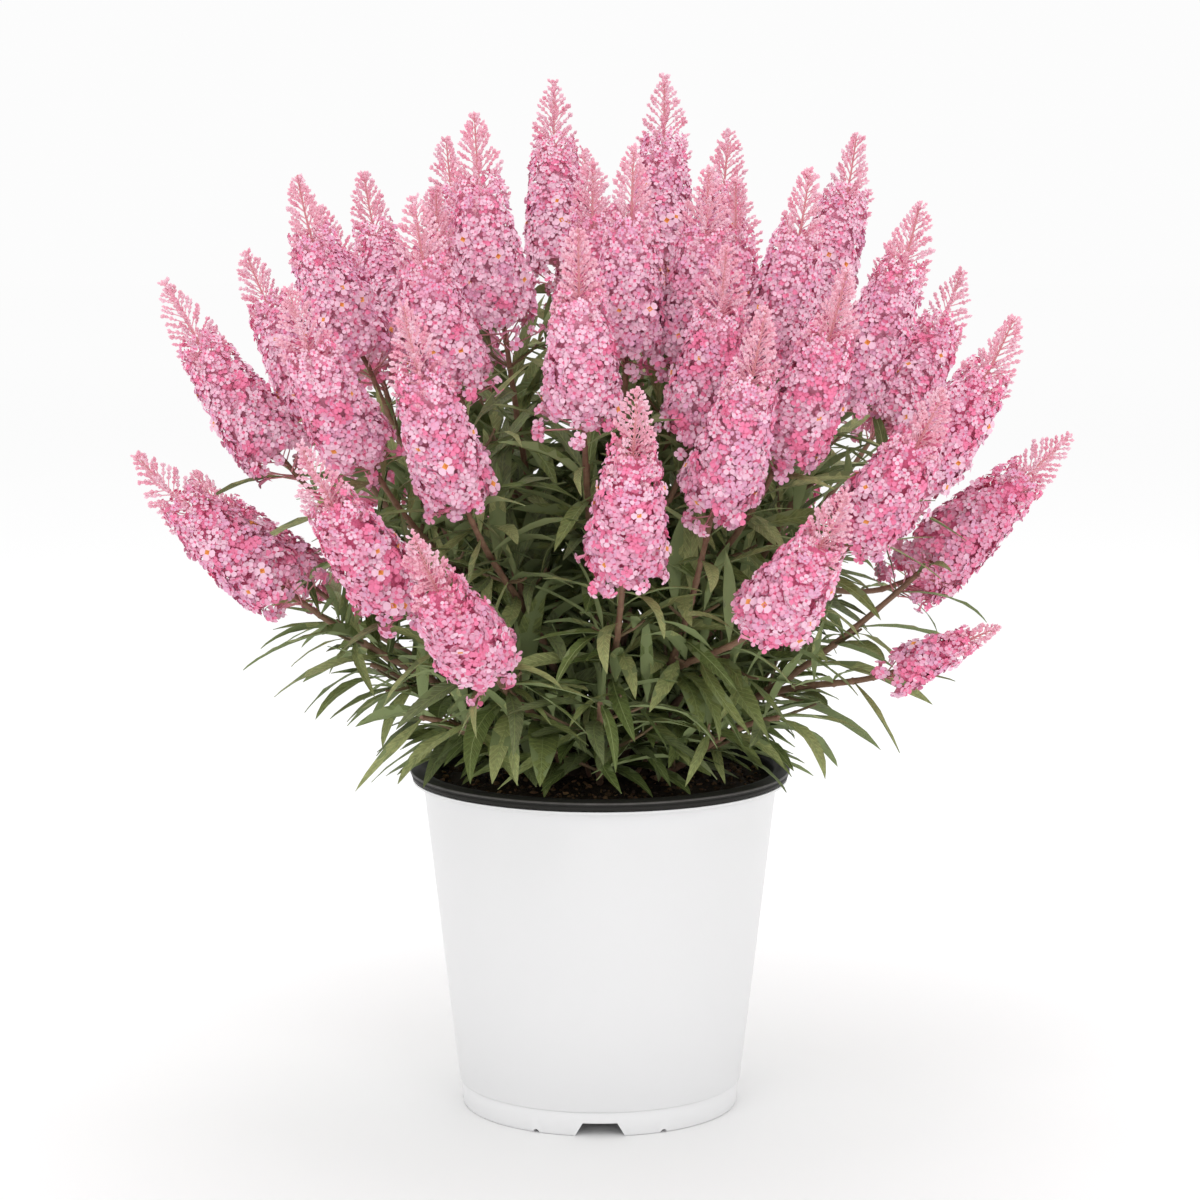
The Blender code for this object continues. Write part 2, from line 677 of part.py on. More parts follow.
def set_out_boughs(bed, rng):
    """Make the boughs, and return each one's shoots and the skins of its mass so far."""
    bark = material("bough_bark", BARK)
    shoots = {}
    skins = {}
    for name, spikes in BOUGHS.items():
        bough = bough_way(spikes)
        limb_skin = tube(bough, BOUGH_FOOT_RADIUS, BOUGH_FORK_RADIUS, BOUGH_SIDES)
        limb = solid(f"bough_{name}", *limb_skin, smooth_angle=70.0)
        limb.data.materials.append(bark)
        bed.add(limb.name, limb_skin)
        shoots[name] = shoots_of(bough, spikes)
        skins[name] = [tube(shoot, BOUGH_FORK_RADIUS, SHOOT_TIP_RADIUS, SHOOT_SIDES)
                       for shoot in shoots[name]]
        skins[name] += [spike_skin(*spike_line(*spike), rng) for spike in spikes]
        for skin in skins[name]:
            bed.add(name, skin)
    return shoots, skins


def set_out_leafy_shoots(bed):
    """Return each leafy shoot's points and skin, on the crown between the boughs."""
    shoots = {}
    skins = {}
    for index in range(LEAFY_COUNT):
        name = f"leafy_{index + 1}"
        shoots[name] = [leafy_way(index)]
        skins[name] = [tube(shoots[name][0], BOUGH_FORK_RADIUS, SHOOT_TIP_RADIUS, SHOOT_SIDES)]
        bed.add(name, skins[name][0])
    return shoots, skins


def grow_side_twigs(bed, name, shoots, skins):
    for share, turn in SIDE_TWIGS:
        twig = side_twig(shoots[0], share, turn)
        if bed.twig_fits(name, twig[1:]):
            skin = tube(twig, SIDE_TWIG_RADIUS, SIDE_TWIG_RADIUS * SIDE_TWIG_TAPER, SHOOT_SIDES)
            skins.append(bed.keep(twig[2], skin))
            shoots.append(twig)


def grow_leaves(bed, name, shoots, skins, last, rng):
    for index, shoot in enumerate(shoots):
        first = LEAF_FROM_FORK if index else LEAF_FROM_FOOT
        for root, outwards, length in leaf_places(shoot, first, last, rng, 90.0 * (index % 2)):
            if bed.leaf_fits(name, root, outwards, length):
                skin = leaf_skin(root, outwards, length)
                skins.append(bed.keep(root + outwards * length / 2, skin))


def grow_bush():
    rng = random.Random(SEED)
    bed = Bed()
    set_out_pot(bed)
    flowering_shoots, flowering_skins = set_out_boughs(bed, rng)
    leafy_shoots, leafy_skins = set_out_leafy_shoots(bed)
    bed.settle()
    for name, shoots in leafy_shoots.items():
        grow_side_twigs(bed, name, shoots, leafy_skins[name])
    for name, shoots in flowering_shoots.items():
        grow_leaves(bed, name, shoots, flowering_skins[name], SPIKE_STALK + LEAF_BELOW_SPIKE, rng)
        fuse(f"mass_{name}", flowering_skins[name], FLOWERING)
    for name, shoots in leafy_shoots.items():
        grow_leaves(bed, name, shoots, leafy_skins[name], LEAF_BELOW_TIP, rng)
        fuse(f"mass_{name}", leafy_skins[name], LEAFY)


clear_scene()
grow_bush()
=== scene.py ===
# A butterfly bush in a nursery pot. Metres, +Z up, with the origin in the middle of the pot's
# underside. The front of the bush faces -Y. Bearings go round the pot in degrees: 0 is the
# front, and plus turns towards +X. A lean is counted in degrees from upright.
import json
import math

import bpy
import numpy as np
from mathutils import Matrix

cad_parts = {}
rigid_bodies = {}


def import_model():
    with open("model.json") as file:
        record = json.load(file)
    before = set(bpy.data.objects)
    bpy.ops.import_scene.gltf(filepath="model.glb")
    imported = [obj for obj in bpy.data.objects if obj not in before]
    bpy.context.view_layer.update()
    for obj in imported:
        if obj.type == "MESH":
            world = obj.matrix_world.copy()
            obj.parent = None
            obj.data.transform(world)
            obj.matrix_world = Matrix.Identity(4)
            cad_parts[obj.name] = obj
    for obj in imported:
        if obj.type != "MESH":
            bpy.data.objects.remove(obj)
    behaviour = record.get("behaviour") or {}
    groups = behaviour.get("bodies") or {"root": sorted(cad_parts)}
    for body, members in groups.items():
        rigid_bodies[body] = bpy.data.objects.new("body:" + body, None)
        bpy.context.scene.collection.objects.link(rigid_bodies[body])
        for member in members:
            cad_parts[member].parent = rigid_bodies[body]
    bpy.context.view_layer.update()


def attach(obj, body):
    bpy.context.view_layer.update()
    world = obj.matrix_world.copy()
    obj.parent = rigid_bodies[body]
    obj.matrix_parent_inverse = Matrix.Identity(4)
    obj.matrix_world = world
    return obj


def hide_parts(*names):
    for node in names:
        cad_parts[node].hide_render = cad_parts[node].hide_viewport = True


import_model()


# The pot is one moulding of white polypropylene with a satin face. It tapers down to a foot
# band that stands back under a fine step, and notches for drainage run out through the foot.
FOOT_RADIUS = 0.0837
FOOT_WIDTH = 0.0050
FOOT_RECESS = 0.0090
STEP_HEIGHT = 0.0155
WALL_FOOT_RADIUS = 0.0858
WALL_TOP_RADIUS = 0.1072
WALL_TOP = 0.2013
WALL = 0.0016
FLOOR_TOP = 0.0115
LIP_FOOT = 0.1973               # the wall turns out to a thin lip just under the rim
LIP_RADIUS = 0.1134
LIP_EDGE = 0.0012
EDGE = 0.0004                   # how far the moulding's edges are eased
FOOT_EASE = 0.0013
GAP = 0.0003
TURN_SEGMENTS = 192
NOTCH_FOOT = 0.0300
NOTCH_CREST = 0.0205
NOTCH_HEIGHT = 0.0082
NOTCH_DROP = 0.0040             # the notches are cut from this far below the foot
SMALL_NOTCH_RADIUS = 0.0022
NOTCH_BEARINGS = (0.0, 120.0, 240.0)
SMALL_NOTCH_OFFSET = 27.0       # degrees to either side of a large notch


def turned(profile, segments=TURN_SEGMENTS):
    """Skin of a profile of (radius, height) turned about Z, closed on itself or on the axis."""
    verts, rings = [], []
    for radius, height in profile:
        if radius == 0.0:
            rings.append([len(verts)] * segments)
            verts.append((0.0, 0.0, height))
            continue
        rings.append(list(range(len(verts), len(verts) + segments)))
        for step in range(segments):
            turn = 2.0 * math.pi * step / segments
            verts.append((radius * math.cos(turn), radius * math.sin(turn), height))
    if profile[0][0] > 0.0:
        rings.append(rings[0])
    faces = []
    for lower, upper in zip(rings, rings[1:]):
        for step in range(segments):
            after = (step + 1) % segments
            corners = (lower[step], lower[after], upper[after], upper[step])
            faces.append([c for i, c in enumerate(corners) if c not in corners[:i]])
    return np.array(verts), faces


def arc(radius, height, across, up, turns):
    """Points of a profile round a spot, this far across and up from it, at angles in degrees."""
    return [(radius + across * math.cos(math.radians(turn)), height + up * math.sin(math.radians(turn)))
            for turn in turns]


def make_piece(name, verts, faces, finishes, kinds=None, crease=None):
    """One object from a skin. kinds gives each face's finish, and crease the sharpest smooth edge."""
    mesh = bpy.data.meshes.new(name)
    if not isinstance(faces, list):
        faces = faces.tolist()
    mesh.from_pydata(np.asarray(verts).tolist(), [], faces)
    for finish in finishes:
        mesh.materials.append(finish)
    if kinds is not None:
        mesh.polygons.foreach_set("material_index", np.asarray(kinds, dtype=np.int32))
    if crease is not None:
        mesh.shade_smooth()
        mesh.set_sharp_from_angle(angle=math.radians(crease))
    made = bpy.data.objects.new(name, mesh)
    bpy.context.scene.collection.objects.link(made)
    return made


def belongs(piece, slot, *nodes):
    """The piece stands with the pot and takes the place of these nodes. The slot is not used."""
    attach(piece, "root")
    if nodes:
        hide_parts(*nodes)


def feed(finish, node, values):
    """Gives each input of a shader node its value, or links it to an output."""
    for name, value in values.items():
        if isinstance(value, bpy.types.NodeSocket):
            finish.node_tree.links.new(value, node.inputs[name])
        else:
            node.inputs[name].default_value = value


def add_node(finish, kind, values, **settings):
    node = finish.node_tree.nodes.new(f"ShaderNode{kind}")
    for name, value in settings.items():
        setattr(node, name, value)
    feed(finish, node, values)
    return node


def finish_of(name, colour, roughness, grain=0.0, depth=0.0, mottle=None, spread=0.5, specular=0.5,
              velvet=0.0):
    """A finish with a fine grain in its surface, and where mottle is given, two colours mixed."""
    made = bpy.data.materials.new(name)
    made.use_nodes = True
    opaque = (*colour, 1.0)
    made.diffuse_color = opaque
    shader = made.node_tree.nodes["Principled BSDF"]
    feed(made, shader, {"Base Color": opaque, "Roughness": roughness, "Specular IOR Level": specular,
                        "Sheen Weight": velvet, "Sheen Roughness": 0.6, "Sheen Tint": opaque})
    place = add_node(made, "TexCoord", {}).outputs["Object"]
    if mottle is not None:
        cloud = add_node(made, "TexNoise", {"Vector": place, "Scale": 1.0 / (6.0 * grain), "Detail": 5.0})
        ramp = add_node(made, "ValToRGB", {"Fac": cloud.outputs["Fac"]})
        for end, side, shade in zip(ramp.color_ramp.elements, (-0.5, 0.5), (colour, mottle)):
            end.position = 0.5 + side * spread
            end.color = (*shade, 1.0)
        feed(made, shader, {"Base Color": ramp.outputs["Color"]})
    if depth > 0.0:
        speckle = add_node(made, "TexNoise", {"Vector": place, "Scale": 1.0 / grain, "Detail": 3.0})
        relief = add_node(made, "Bump", {"Height": speckle.outputs["Fac"], "Strength": 1.0,
                                         "Distance": depth})
        feed(made, shader, {"Normal": relief.outputs["Normal"]})
    return made


def wall_radius(height):
    share = (height - STEP_HEIGHT) / (WALL_TOP - STEP_HEIGHT)
    return WALL_FOOT_RADIUS + share * (WALL_TOP_RADIUS - WALL_FOOT_RADIUS)


def notch_cutter(bearing, section):
    """A bar of the given section that runs out through the foot ring."""
    turn = math.radians(bearing)
    out = np.array([math.sin(turn), -math.cos(turn), 0.0])
    along = np.array([-out[1], out[0], 0.0])
    ends = (FOOT_RADIUS - 3.0 * FOOT_WIDTH, FOOT_RADIUS + FOOT_WIDTH)
    verts = [out * end + along * side + np.array([0.0, 0.0, level])
             for end in ends for side, level in section]
    count = len(section)
    faces = [list(range(count - 1, -1, -1)), list(range(count, 2 * count))]
    for corner in range(count):
        after = (corner + 1) % count
        faces.append([corner, after, after + count, corner + count])
    return verts, faces


foot_inside = FOOT_RADIUS - FOOT_WIDTH
pot_profile = [
    (0.0, FOOT_RECESS), (foot_inside - 0.0006, FOOT_RECESS), (foot_inside, EDGE),
    (foot_inside + EDGE, 0.0), (FOOT_RADIUS - FOOT_EASE, 0.0),
    (FOOT_RADIUS - 0.4 * FOOT_EASE, 0.3 * FOOT_EASE), (FOOT_RADIUS, FOOT_EASE),
    (FOOT_RADIUS + 0.0008, STEP_HEIGHT - 0.0016), (FOOT_RADIUS + 0.0004, STEP_HEIGHT - 0.0006),
    (WALL_FOOT_RADIUS - EDGE, STEP_HEIGHT - 0.0002), (WALL_FOOT_RADIUS, STEP_HEIGHT + EDGE),
    (wall_radius(0.08), 0.08), (wall_radius(0.14), 0.14), (wall_radius(LIP_FOOT), LIP_FOOT),
    (wall_radius(LIP_FOOT) + 0.0010, LIP_FOOT + 0.0014),
    (LIP_RADIUS - LIP_EDGE, WALL_TOP - 1.7 * LIP_EDGE),
    (LIP_RADIUS, WALL_TOP - LIP_EDGE), (LIP_RADIUS, WALL_TOP), (WALL_TOP_RADIUS - WALL, WALL_TOP),
    (wall_radius(FLOOR_TOP) - WALL - 0.0004, FLOOR_TOP), (0.0, FLOOR_TOP),
]
white_plastic = finish_of("white_plastic", (0.815, 0.815, 0.82), 0.36, grain=0.0016, depth=0.00003)
pot = make_piece("pot", *turned(pot_profile), [white_plastic])
notch_edge = NOTCH_FOOT / 2 + (NOTCH_FOOT - NOTCH_CREST) / 2 / NOTCH_HEIGHT * NOTCH_DROP
notch = [(-notch_edge, -NOTCH_DROP), (notch_edge, -NOTCH_DROP),
         (NOTCH_CREST / 2, NOTCH_HEIGHT), (-NOTCH_CREST / 2, NOTCH_HEIGHT)]
small_notch = arc(0.0, 0.0, SMALL_NOTCH_RADIUS, SMALL_NOTCH_RADIUS, range(-45, 226, 30))
cuts = ((0.0, notch), (-SMALL_NOTCH_OFFSET, small_notch), (SMALL_NOTCH_OFFSET, small_notch))
cutters = bpy.data.collections.new("notch_cutters")
for bearing in NOTCH_BEARINGS:
    for offset, section in cuts:
        cutters.objects.link(make_piece("cutter", *notch_cutter(bearing + offset, section), []))
cut = pot.modifiers.new("notches", "BOOLEAN")
cut.operation = "DIFFERENCE"
cut.solver = "EXACT"
cut.operand_type = "COLLECTION"
cut.collection = cutters
bpy.context.view_layer.update()
notched = bpy.data.meshes.new_from_object(pot.evaluated_get(bpy.context.evaluated_depsgraph_get()))
pot.modifiers.clear()
pot.data = notched
for cutter in list(cutters.objects):
    bpy.data.objects.remove(cutter, do_unlink=True)
bpy.data.collections.remove(cutters)
notched.materials.clear()
notched.materials.append(white_plastic)
notched.shade_smooth()
notched.set_sharp_from_angle(angle=math.radians(28.0))
belongs(pot, "white_plastic", "pot_wall")


# The rim is the pot's second moulding, black polypropylene: a rolled edge that sits on the white
# wall, with a thin skin that runs down inside it. The crest of its bead has a painted highlight.
RIM_RADIUS = 0.1150
RIM_BOTTOM = WALL_TOP + GAP
RIM_TOP = RIM_BOTTOM + 0.0068
BEAD_RADIUS = 0.0012
BEAD_HEIGHT = 0.0045            # above the rim's bottom
SKIN = 0.0012
SKIN_BOTTOM = 0.1780
PAINTED_HIGHLIGHT_ROWS = range(11, 15)     # painted highlight: profile rows from the middle of the bead up
skin_foot = wall_radius(SKIN_BOTTOM) - WALL - GAP
lip = wall_radius(RIM_BOTTOM) - WALL - GAP
rim_profile = [(skin_foot, SKIN_BOTTOM), (lip, RIM_BOTTOM)]
rim_profile += [(RIM_RADIUS - inwards, RIM_BOTTOM + rise) for inwards, rise in (
    (0.0030, 0.0), (0.0021, 0.0002), (0.0013, 0.0009), (0.0009, 0.0020), (0.0009, 0.0026), (0.0012, 0.0031))]
rim_profile += arc(RIM_RADIUS - BEAD_RADIUS, RIM_BOTTOM + BEAD_HEIGHT, BEAD_RADIUS, BEAD_RADIUS,
                   range(-50, 71, 15))
rim_profile += [(RIM_RADIUS - 0.0022, RIM_BOTTOM + 0.0061), (RIM_RADIUS - 0.0036, RIM_TOP - 0.0002),
                (RIM_RADIUS - 0.0052, RIM_TOP)]
rim_profile += arc(lip + 0.0022, RIM_TOP - 0.0034, 0.0026, 0.0031, range(100, 181, 20))
rim_profile += [(lip - SKIN, RIM_BOTTOM - 0.0012), (skin_foot - SKIN, SKIN_BOTTOM)]
black_plastic = finish_of("black_plastic", (0.027, 0.026, 0.024), 0.50, grain=0.0011, depth=0.00004,
                          specular=0.07)
# The bead's crest gets a paler finish: a painted highlight.
painted_highlight_plastic = finish_of("black_plastic_painted_highlight", (0.115, 0.109, 0.104), 0.40, grain=0.0011,
                           depth=0.00004, mottle=(0.075, 0.071, 0.067), spread=0.4, specular=0.2)
row_of_face = np.repeat(np.arange(len(rim_profile)), TURN_SEGMENTS)
rim = make_piece("rim", *turned(rim_profile), [black_plastic, painted_highlight_plastic],
                 np.isin(row_of_face, PAINTED_HIGHLIGHT_ROWS), crease=40.0)
belongs(rim, "black_plastic", "pot_rim")


# The pot is filled with potting mix, a dark peat with composted bark. Its top is uneven and
# strewn with crumbs of peat and with chips of bark that have dried to tan and orange.
MIX_TOP = 0.1995
MIX_RISE = 0.0095
MIX_HEAVE = 0.0016
MIX_RINGS = 44
MIX_SEGMENTS = 144
MIX_EASE = 0.0020               # the mix is this much narrower at its foot
HEAVE_SPAN = 0.026              # the mix heaves up and down over this distance
CRUMBS = 900
CRUMB_SMALLEST = 0.0006
CRUMB_SPREAD = 0.0013
CRUMB_MARGIN = 0.0022           # none so near the edge of the mix
CHIPS = 230
CHIP_SMALLEST = 0.0007
CHIP_SPREAD = 0.0012
CHIP_MARGIN = 0.0045
CHIP_LIFT = 0.0005
CHIP_SIDES = 6
CHIP_THICKNESS = 0.0011
CHIP_SHADES = (0, 2, 2, 1, 2, 2, 2)
ANY_ROLL = (0.0, 6.3)
rng = np.random.default_rng(11)


def unit(vectors):
    return vectors / np.linalg.norm(vectors, axis=-1, keepdims=True)


def ripple(points, scale, seed, octaves=4):
    """Smooth unevenness between -1 and 1, built up from waves that run in seeded directions."""
    draw = np.random.default_rng(seed)
    total = np.zeros(len(points))
    strength = 1.0
    weight = 0.0
    for _ in range(octaves):
        for _ in range(4):
            way = unit(draw.normal(size=3))
            total += strength * np.sin(points @ way * 2.0 * math.pi / scale + draw.uniform(*ANY_ROLL))
        weight += 4.0 * strength
        strength *= 0.6
        scale *= 0.5
    return total / weight * 2.0


def round_about(count):
    """Angles evenly round a circle, in radians."""
    return np.arange(count) * 2.0 * math.pi / count


def circle(count, radius=1.0, height=0.0, start=0.0):
    """Points evenly round the z axis, from a starting angle in degrees."""
    turns = round_about(count) + math.radians(start)
    return np.stack([radius * np.cos(turns), radius * np.sin(turns), np.full(count, height)], axis=1)


def ring_faces(rings, sides):
    """Triangles that join rings of points, and close both ends about the two points after them."""
    corner = np.arange(sides)
    after = (corner + 1) % sides
    foot, last = rings * sides, (rings - 1) * sides
    faces = [(foot, after, corner), (foot + 1, last + corner, last + after)]
    for low in range(0, last, sides):
        high = low + sides
        faces += [(low + corner, low + after, high + after), (low + corner, high + after, high + corner)]
    return np.concatenate([np.stack(np.broadcast_arrays(*face), axis=1) for face in faces])


def stand(shape, places, ways, rolls, widths, lengths):
    """Copies of one small shape, each with its own z axis turned along a way."""
    verts, faces = shape
    rolls, widths, lengths = (np.broadcast_to(value, len(places))[:, None]
                              for value in (rolls, widths, lengths))
    helper = np.where(np.abs(ways[:, 2:3]) > 0.9, [[1.0, 0.0, 0.0]], [[0.0, 0.0, 1.0]])
    side = unit(np.cross(ways, helper))
    upper = np.cross(ways, side)
    axes = np.stack([(side * np.cos(rolls) + upper * np.sin(rolls)) * widths,
                     (upper * np.cos(rolls) - side * np.sin(rolls)) * widths, ways * lengths], axis=1)
    copies = np.einsum("vk,nkj->nvj", verts, axes) + places[:, None, :]
    moved = faces[None] + (np.arange(len(places)) * len(verts))[:, None, None]
    return copies.reshape(-1, 3), moved.reshape(-1, 3)


class Heap:
    """Many small skins gathered for one piece, with the finish of each face."""

    def __init__(self):
        self.verts, self.faces, self.kinds = [], [], []
        self.count = 0

    def add(self, skin, kinds):
        verts, faces = skin
        self.verts.append(verts)
        self.faces.append(faces + self.count)
        self.kinds.append(np.broadcast_to(kinds, len(faces)))
        self.count += len(verts)

    def piece(self, name, finishes, crease=None):
        return make_piece(name, np.concatenate(self.verts), np.concatenate(self.faces), finishes,
                          np.concatenate(self.kinds), crease)


golden = (1.0 + math.sqrt(5.0)) / 2.0
lump_verts = unit(np.array([(-1, golden, 0), (1, golden, 0), (-1, -golden, 0), (1, -golden, 0),
                            (0, -1, golden), (0, 1, golden), (0, -1, -golden), (0, 1, -golden),
                            (golden, 0, -1), (golden, 0, 1), (-golden, 0, -1), (-golden, 0, 1)]))
lump_faces = np.array([(0, 11, 5), (0, 5, 1), (0, 1, 7), (0, 7, 10), (0, 10, 11), (1, 5, 9), (5, 11, 4),
                       (11, 10, 2), (10, 7, 6), (7, 1, 8), (3, 9, 4), (3, 4, 2), (3, 2, 6), (3, 6, 8),
                       (3, 8, 9), (4, 9, 5), (2, 4, 11), (6, 2, 10), (8, 6, 7), (9, 8, 1)])
mix_edge = wall_radius(MIX_TOP) - WALL - SKIN - 3.0 * GAP
mix_profile = [(0.0, SKIN_BOTTOM), (mix_edge - MIX_EASE, SKIN_BOTTOM)]
for ring in range(MIX_RINGS, -1, -1):
    share = ring / MIX_RINGS
    mix_profile.append((mix_edge * share, MIX_TOP + MIX_RISE * (1.0 - share ** 2) ** 2))
mix_verts, mix_faces = turned(mix_profile, MIX_SEGMENTS)
on_top = mix_verts[:, 2] > MIX_TOP - 1e-4
mix_verts[:, 2] += np.where(on_top, MIX_HEAVE * ripple(mix_verts, HEAVE_SPAN, 3, octaves=5), 0.0)
peat = finish_of("peat", (0.016, 0.011, 0.007), 0.95, grain=0.0007, depth=0.0009,
                 mottle=(0.040, 0.027, 0.016), spread=0.35, specular=0.2)
mix = make_piece("potting_mix_top", mix_verts, mix_faces, [peat], crease=60.0)
belongs(mix, "potting_mix", "potting_mix")


def strewn(count, edge, seed):
    """Places on top of the mix, with the mix's height under each."""
    draw = np.random.default_rng(seed)
    reach = np.sqrt(draw.uniform(0.12, 1.0, count)) * edge
    turn = draw.uniform(0.0, 2.0 * math.pi, count)
    flat = np.stack([reach * np.cos(turn), reach * np.sin(turn), np.full(count, MIX_TOP)], axis=1)
    flat[:, 2] += MIX_RISE * (1.0 - (reach / mix_edge) ** 2) ** 2
    flat[:, 2] += MIX_HEAVE * ripple(flat, HEAVE_SPAN, 3, octaves=5)
    return flat


crumbs = Heap()
crumb_places = strewn(CRUMBS, mix_edge - CRUMB_MARGIN, 12)
crumb_sizes = CRUMB_SMALLEST + CRUMB_SPREAD * rng.random(CRUMBS) ** 2.2
for shade in range(3):
    mine = np.arange(shade, CRUMBS, 3)
    dented = lump_verts * (1.0 + 0.28 * rng.uniform(-1.0, 1.0, (12, 1)))
    crumbs.add(stand((dented, lump_faces), crumb_places[mine], unit(rng.normal(size=(len(mine), 3))),
                     rng.uniform(*ANY_ROLL, len(mine)), crumb_sizes[mine] * 1.2, crumb_sizes[mine]), shade)
crumb_finishes = [finish_of(f"peat_{name}", colour, 0.95, grain=0.0006, depth=0.0003, specular=0.2)
                  for name, colour in (("black", (0.012, 0.008, 0.006)), ("brown", (0.055, 0.032, 0.016)),
                                       ("umber", (0.120, 0.072, 0.036)))]
belongs(crumbs.piece("peat_crumbs", crumb_finishes), "potting_mix")

chips = Heap()
chip_places = strewn(CHIPS, mix_edge - CHIP_MARGIN, 13) + [0.0, 0.0, CHIP_LIFT]
for number in range(CHIPS):
    ring = circle(CHIP_SIDES, rng.uniform(0.55, 1.15, CHIP_SIDES)) * [1.7, 1.0, 1.0]
    worn = ring * [0.8, 0.8, 1.0]
    chip = np.concatenate([worn - [0.0, 0.0, 0.45], ring, worn + [0.0, 0.0, 0.4],
                           [[0.0, 0.0, -0.5], [0.0, 0.0, 0.45]]])
    size = CHIP_SMALLEST + CHIP_SPREAD * rng.random() ** 1.7
    tilt = unit(np.array([[*rng.normal(0.0, 0.35, 2), 1.0]]))
    chips.add(stand((chip, ring_faces(3, CHIP_SIDES)), chip_places[number:number + 1], tilt,
                    rng.uniform(*ANY_ROLL), size, CHIP_THICKNESS), CHIP_SHADES[number % len(CHIP_SHADES)])
chip_finishes = [finish_of(f"bark_chip_{name}", colour, 0.85, grain=0.0007, depth=0.0003, mottle=dark)
                 for name, colour, dark in (("tan", (0.36, 0.21, 0.095), (0.12, 0.06, 0.028)),
                                            ("orange", (0.20, 0.105, 0.045), (0.09, 0.04, 0.018)),
                                            ("brown", (0.060, 0.036, 0.021), (0.04, 0.022, 0.012)))]
belongs(chips.piece("bark_chips", chip_finishes), "potting_mix")


# The crown is the low woody stump that is left of old wood at the level of the mix. Every limb
# springs from it. It is grey-brown, with furrowed bark that has been cut back and healed. Its
# colour is kept very dark: partly its own, partly painted shade from the bush above.
CROWN_RADIUS = 0.0400
CROWN_HEIGHT = 0.0230
CROWN_BASE = 0.1978
CROWN_SKIRT = 0.0010            # how far it reaches down into the mix
CROWN_RELIEF = 0.0011
CROWN_SEGMENTS = 96
# Very dark old bark, darkened further as painted shade; the boughs' feet take it as painted shade too.
OLD_BARK_AND_PAINTED_SHADE = (0.030, 0.020, 0.014)
crown_profile = [(0.0, CROWN_BASE - CROWN_SKIRT), (CROWN_RADIUS, CROWN_BASE - CROWN_SKIRT)]
crown_profile += arc(0.0, CROWN_BASE, CROWN_RADIUS, CROWN_HEIGHT, range(2, 90, 4))
crown_profile.append((0.0, CROWN_BASE + CROWN_HEIGHT))
crown_verts, crown_faces = turned(crown_profile, CROWN_SEGMENTS)
crown_out = unit(crown_verts * [1.0, 1.0, 1.6] + [0.0, 0.0, 1e-6 - 1.6 * CROWN_BASE])
knobs = ripple(crown_verts, 0.022, 5, octaves=5)
furrows = ripple(crown_verts * [1.0, 1.0, 0.25], 0.006, 6, octaves=2)
crown_verts += crown_out * (CROWN_RELIEF * (knobs + 0.5 * furrows) - 0.5 * CROWN_RELIEF)[:, None]
old_bark = finish_of("old_bark", OLD_BARK_AND_PAINTED_SHADE, 0.90, grain=0.0012, depth=0.0006, mottle=(0.062, 0.042, 0.029),
                     specular=0.2)
stump = make_piece("crown_stump", crown_verts, crown_faces, [old_bark], crease=70.0)
belongs(stump, "bark", "crown")


# The boughs are two-year wood. Each is one tapering limb that leaves the crown square to it,
# bends up towards its flowers and ends at its fork. The plan gives each flower spike's bearing,
# its lean, how much of the bush's dome it reaches, and its length.
BOUGHS = {
    "front_left_low": [(-20, 57, 1.0, 0.130), (-34, 51, 1.0, 0.130)],
    "left_low": [(-74, 53, 0.975, 0.125)],
    "left_rear_low": [(-113, 57, 0.97, 0.110)],
    "front_mid": [(4, 46, 1.0, 0.138)],
    "front_left": [(-24, 40, 1.0, 0.132), (-29, 30, 1.0, 0.118)],
    "left_mid": [(-42, 39, 1.0, 0.115), (-60, 28, 1.0, 0.120)],
    "left": [(-85, 40, 1.0, 0.130), (-117, 38, 1.0, 0.118), (-99, 26, 0.92, 0.110)],
    "front": [(-3, 33, 1.0, 0.120), (-4, 9, 0.88, 0.110)],
    "upper_front": [(6, 24, 1.0, 0.125), (21, 24, 0.97, 0.118), (20, 31, 0.94, 0.118)],
    "front_right": [(20, 40, 1.0, 0.136), (27, 54, 1.0, 0.122)],
    "right_front": [(33, 37, 1.0, 0.124), (37, 27, 1.0, 0.120)],
    "right_mid": [(42, 47, 1.0, 0.112)],
    "right": [(62, 42, 1.0, 0.118), (57, 31, 1.0, 0.128), (88, 28, 0.89, 0.110)],
    "right_low": [(76, 52, 0.98, 0.113), (56, 66, 1.0, 0.074)],
    "upper_left": [(-30, 19, 1.0, 0.128), (-80, 15, 0.87, 0.112)],
    "top": [(152, 11, 1.0, 0.125), (-163, 13, 1.0, 0.122), (68, 13, 0.87, 0.110)],
    "back_left": [(-146, 24, 1.0, 0.118), (-133, 29, 1.0, 0.118)],
    "back": [(-177, 26, 1.0, 0.118), (151, 23, 1.0, 0.118)],
    "right_back": [(111, 23, 1.0, 0.120), (118, 40, 1.0, 0.116), (103, 55, 0.94, 0.108)],
    "rear_mid": [(178, 46, 1.0, 0.122), (168, 35, 1.0, 0.118)],
    "rear_left": [(-152, 38, 1.0, 0.118), (-138, 49, 1.0, 0.118)],
    "rear_right": [(143, 40, 1.0, 0.118), (149, 54, 1.0, 0.118)],
    "rear_right_low": [(126, 52, 1.0, 0.118)],
    "rear_low": [(-166, 57, 1.0, 0.116)],
}
DOME_CENTRE = 0.3950
DOME_HALF_WIDTH = 0.2880
DOME_HALF_HEIGHT = 0.2380
LEAN_FROM = 0.1950              # leans are measured at this height on the pot's axis
AIM_LOW = 0.1050                # spikes point away from a spot this high on the axis,
AIM_HIGH = 0.1850               # or this high where they lean furthest
AIM_LEANS = (36.0, 66.0)
BOUGH_SHARE = 0.36
BOUGH_FOOT_RADIUS = 0.0030
BOUGH_FORK_RADIUS = 0.0023
BOUGH_RINGS = 26
BOUGH_SIDES = 12
SUNK_IN_CROWN = 0.0012
PULL_AT_START = 0.33
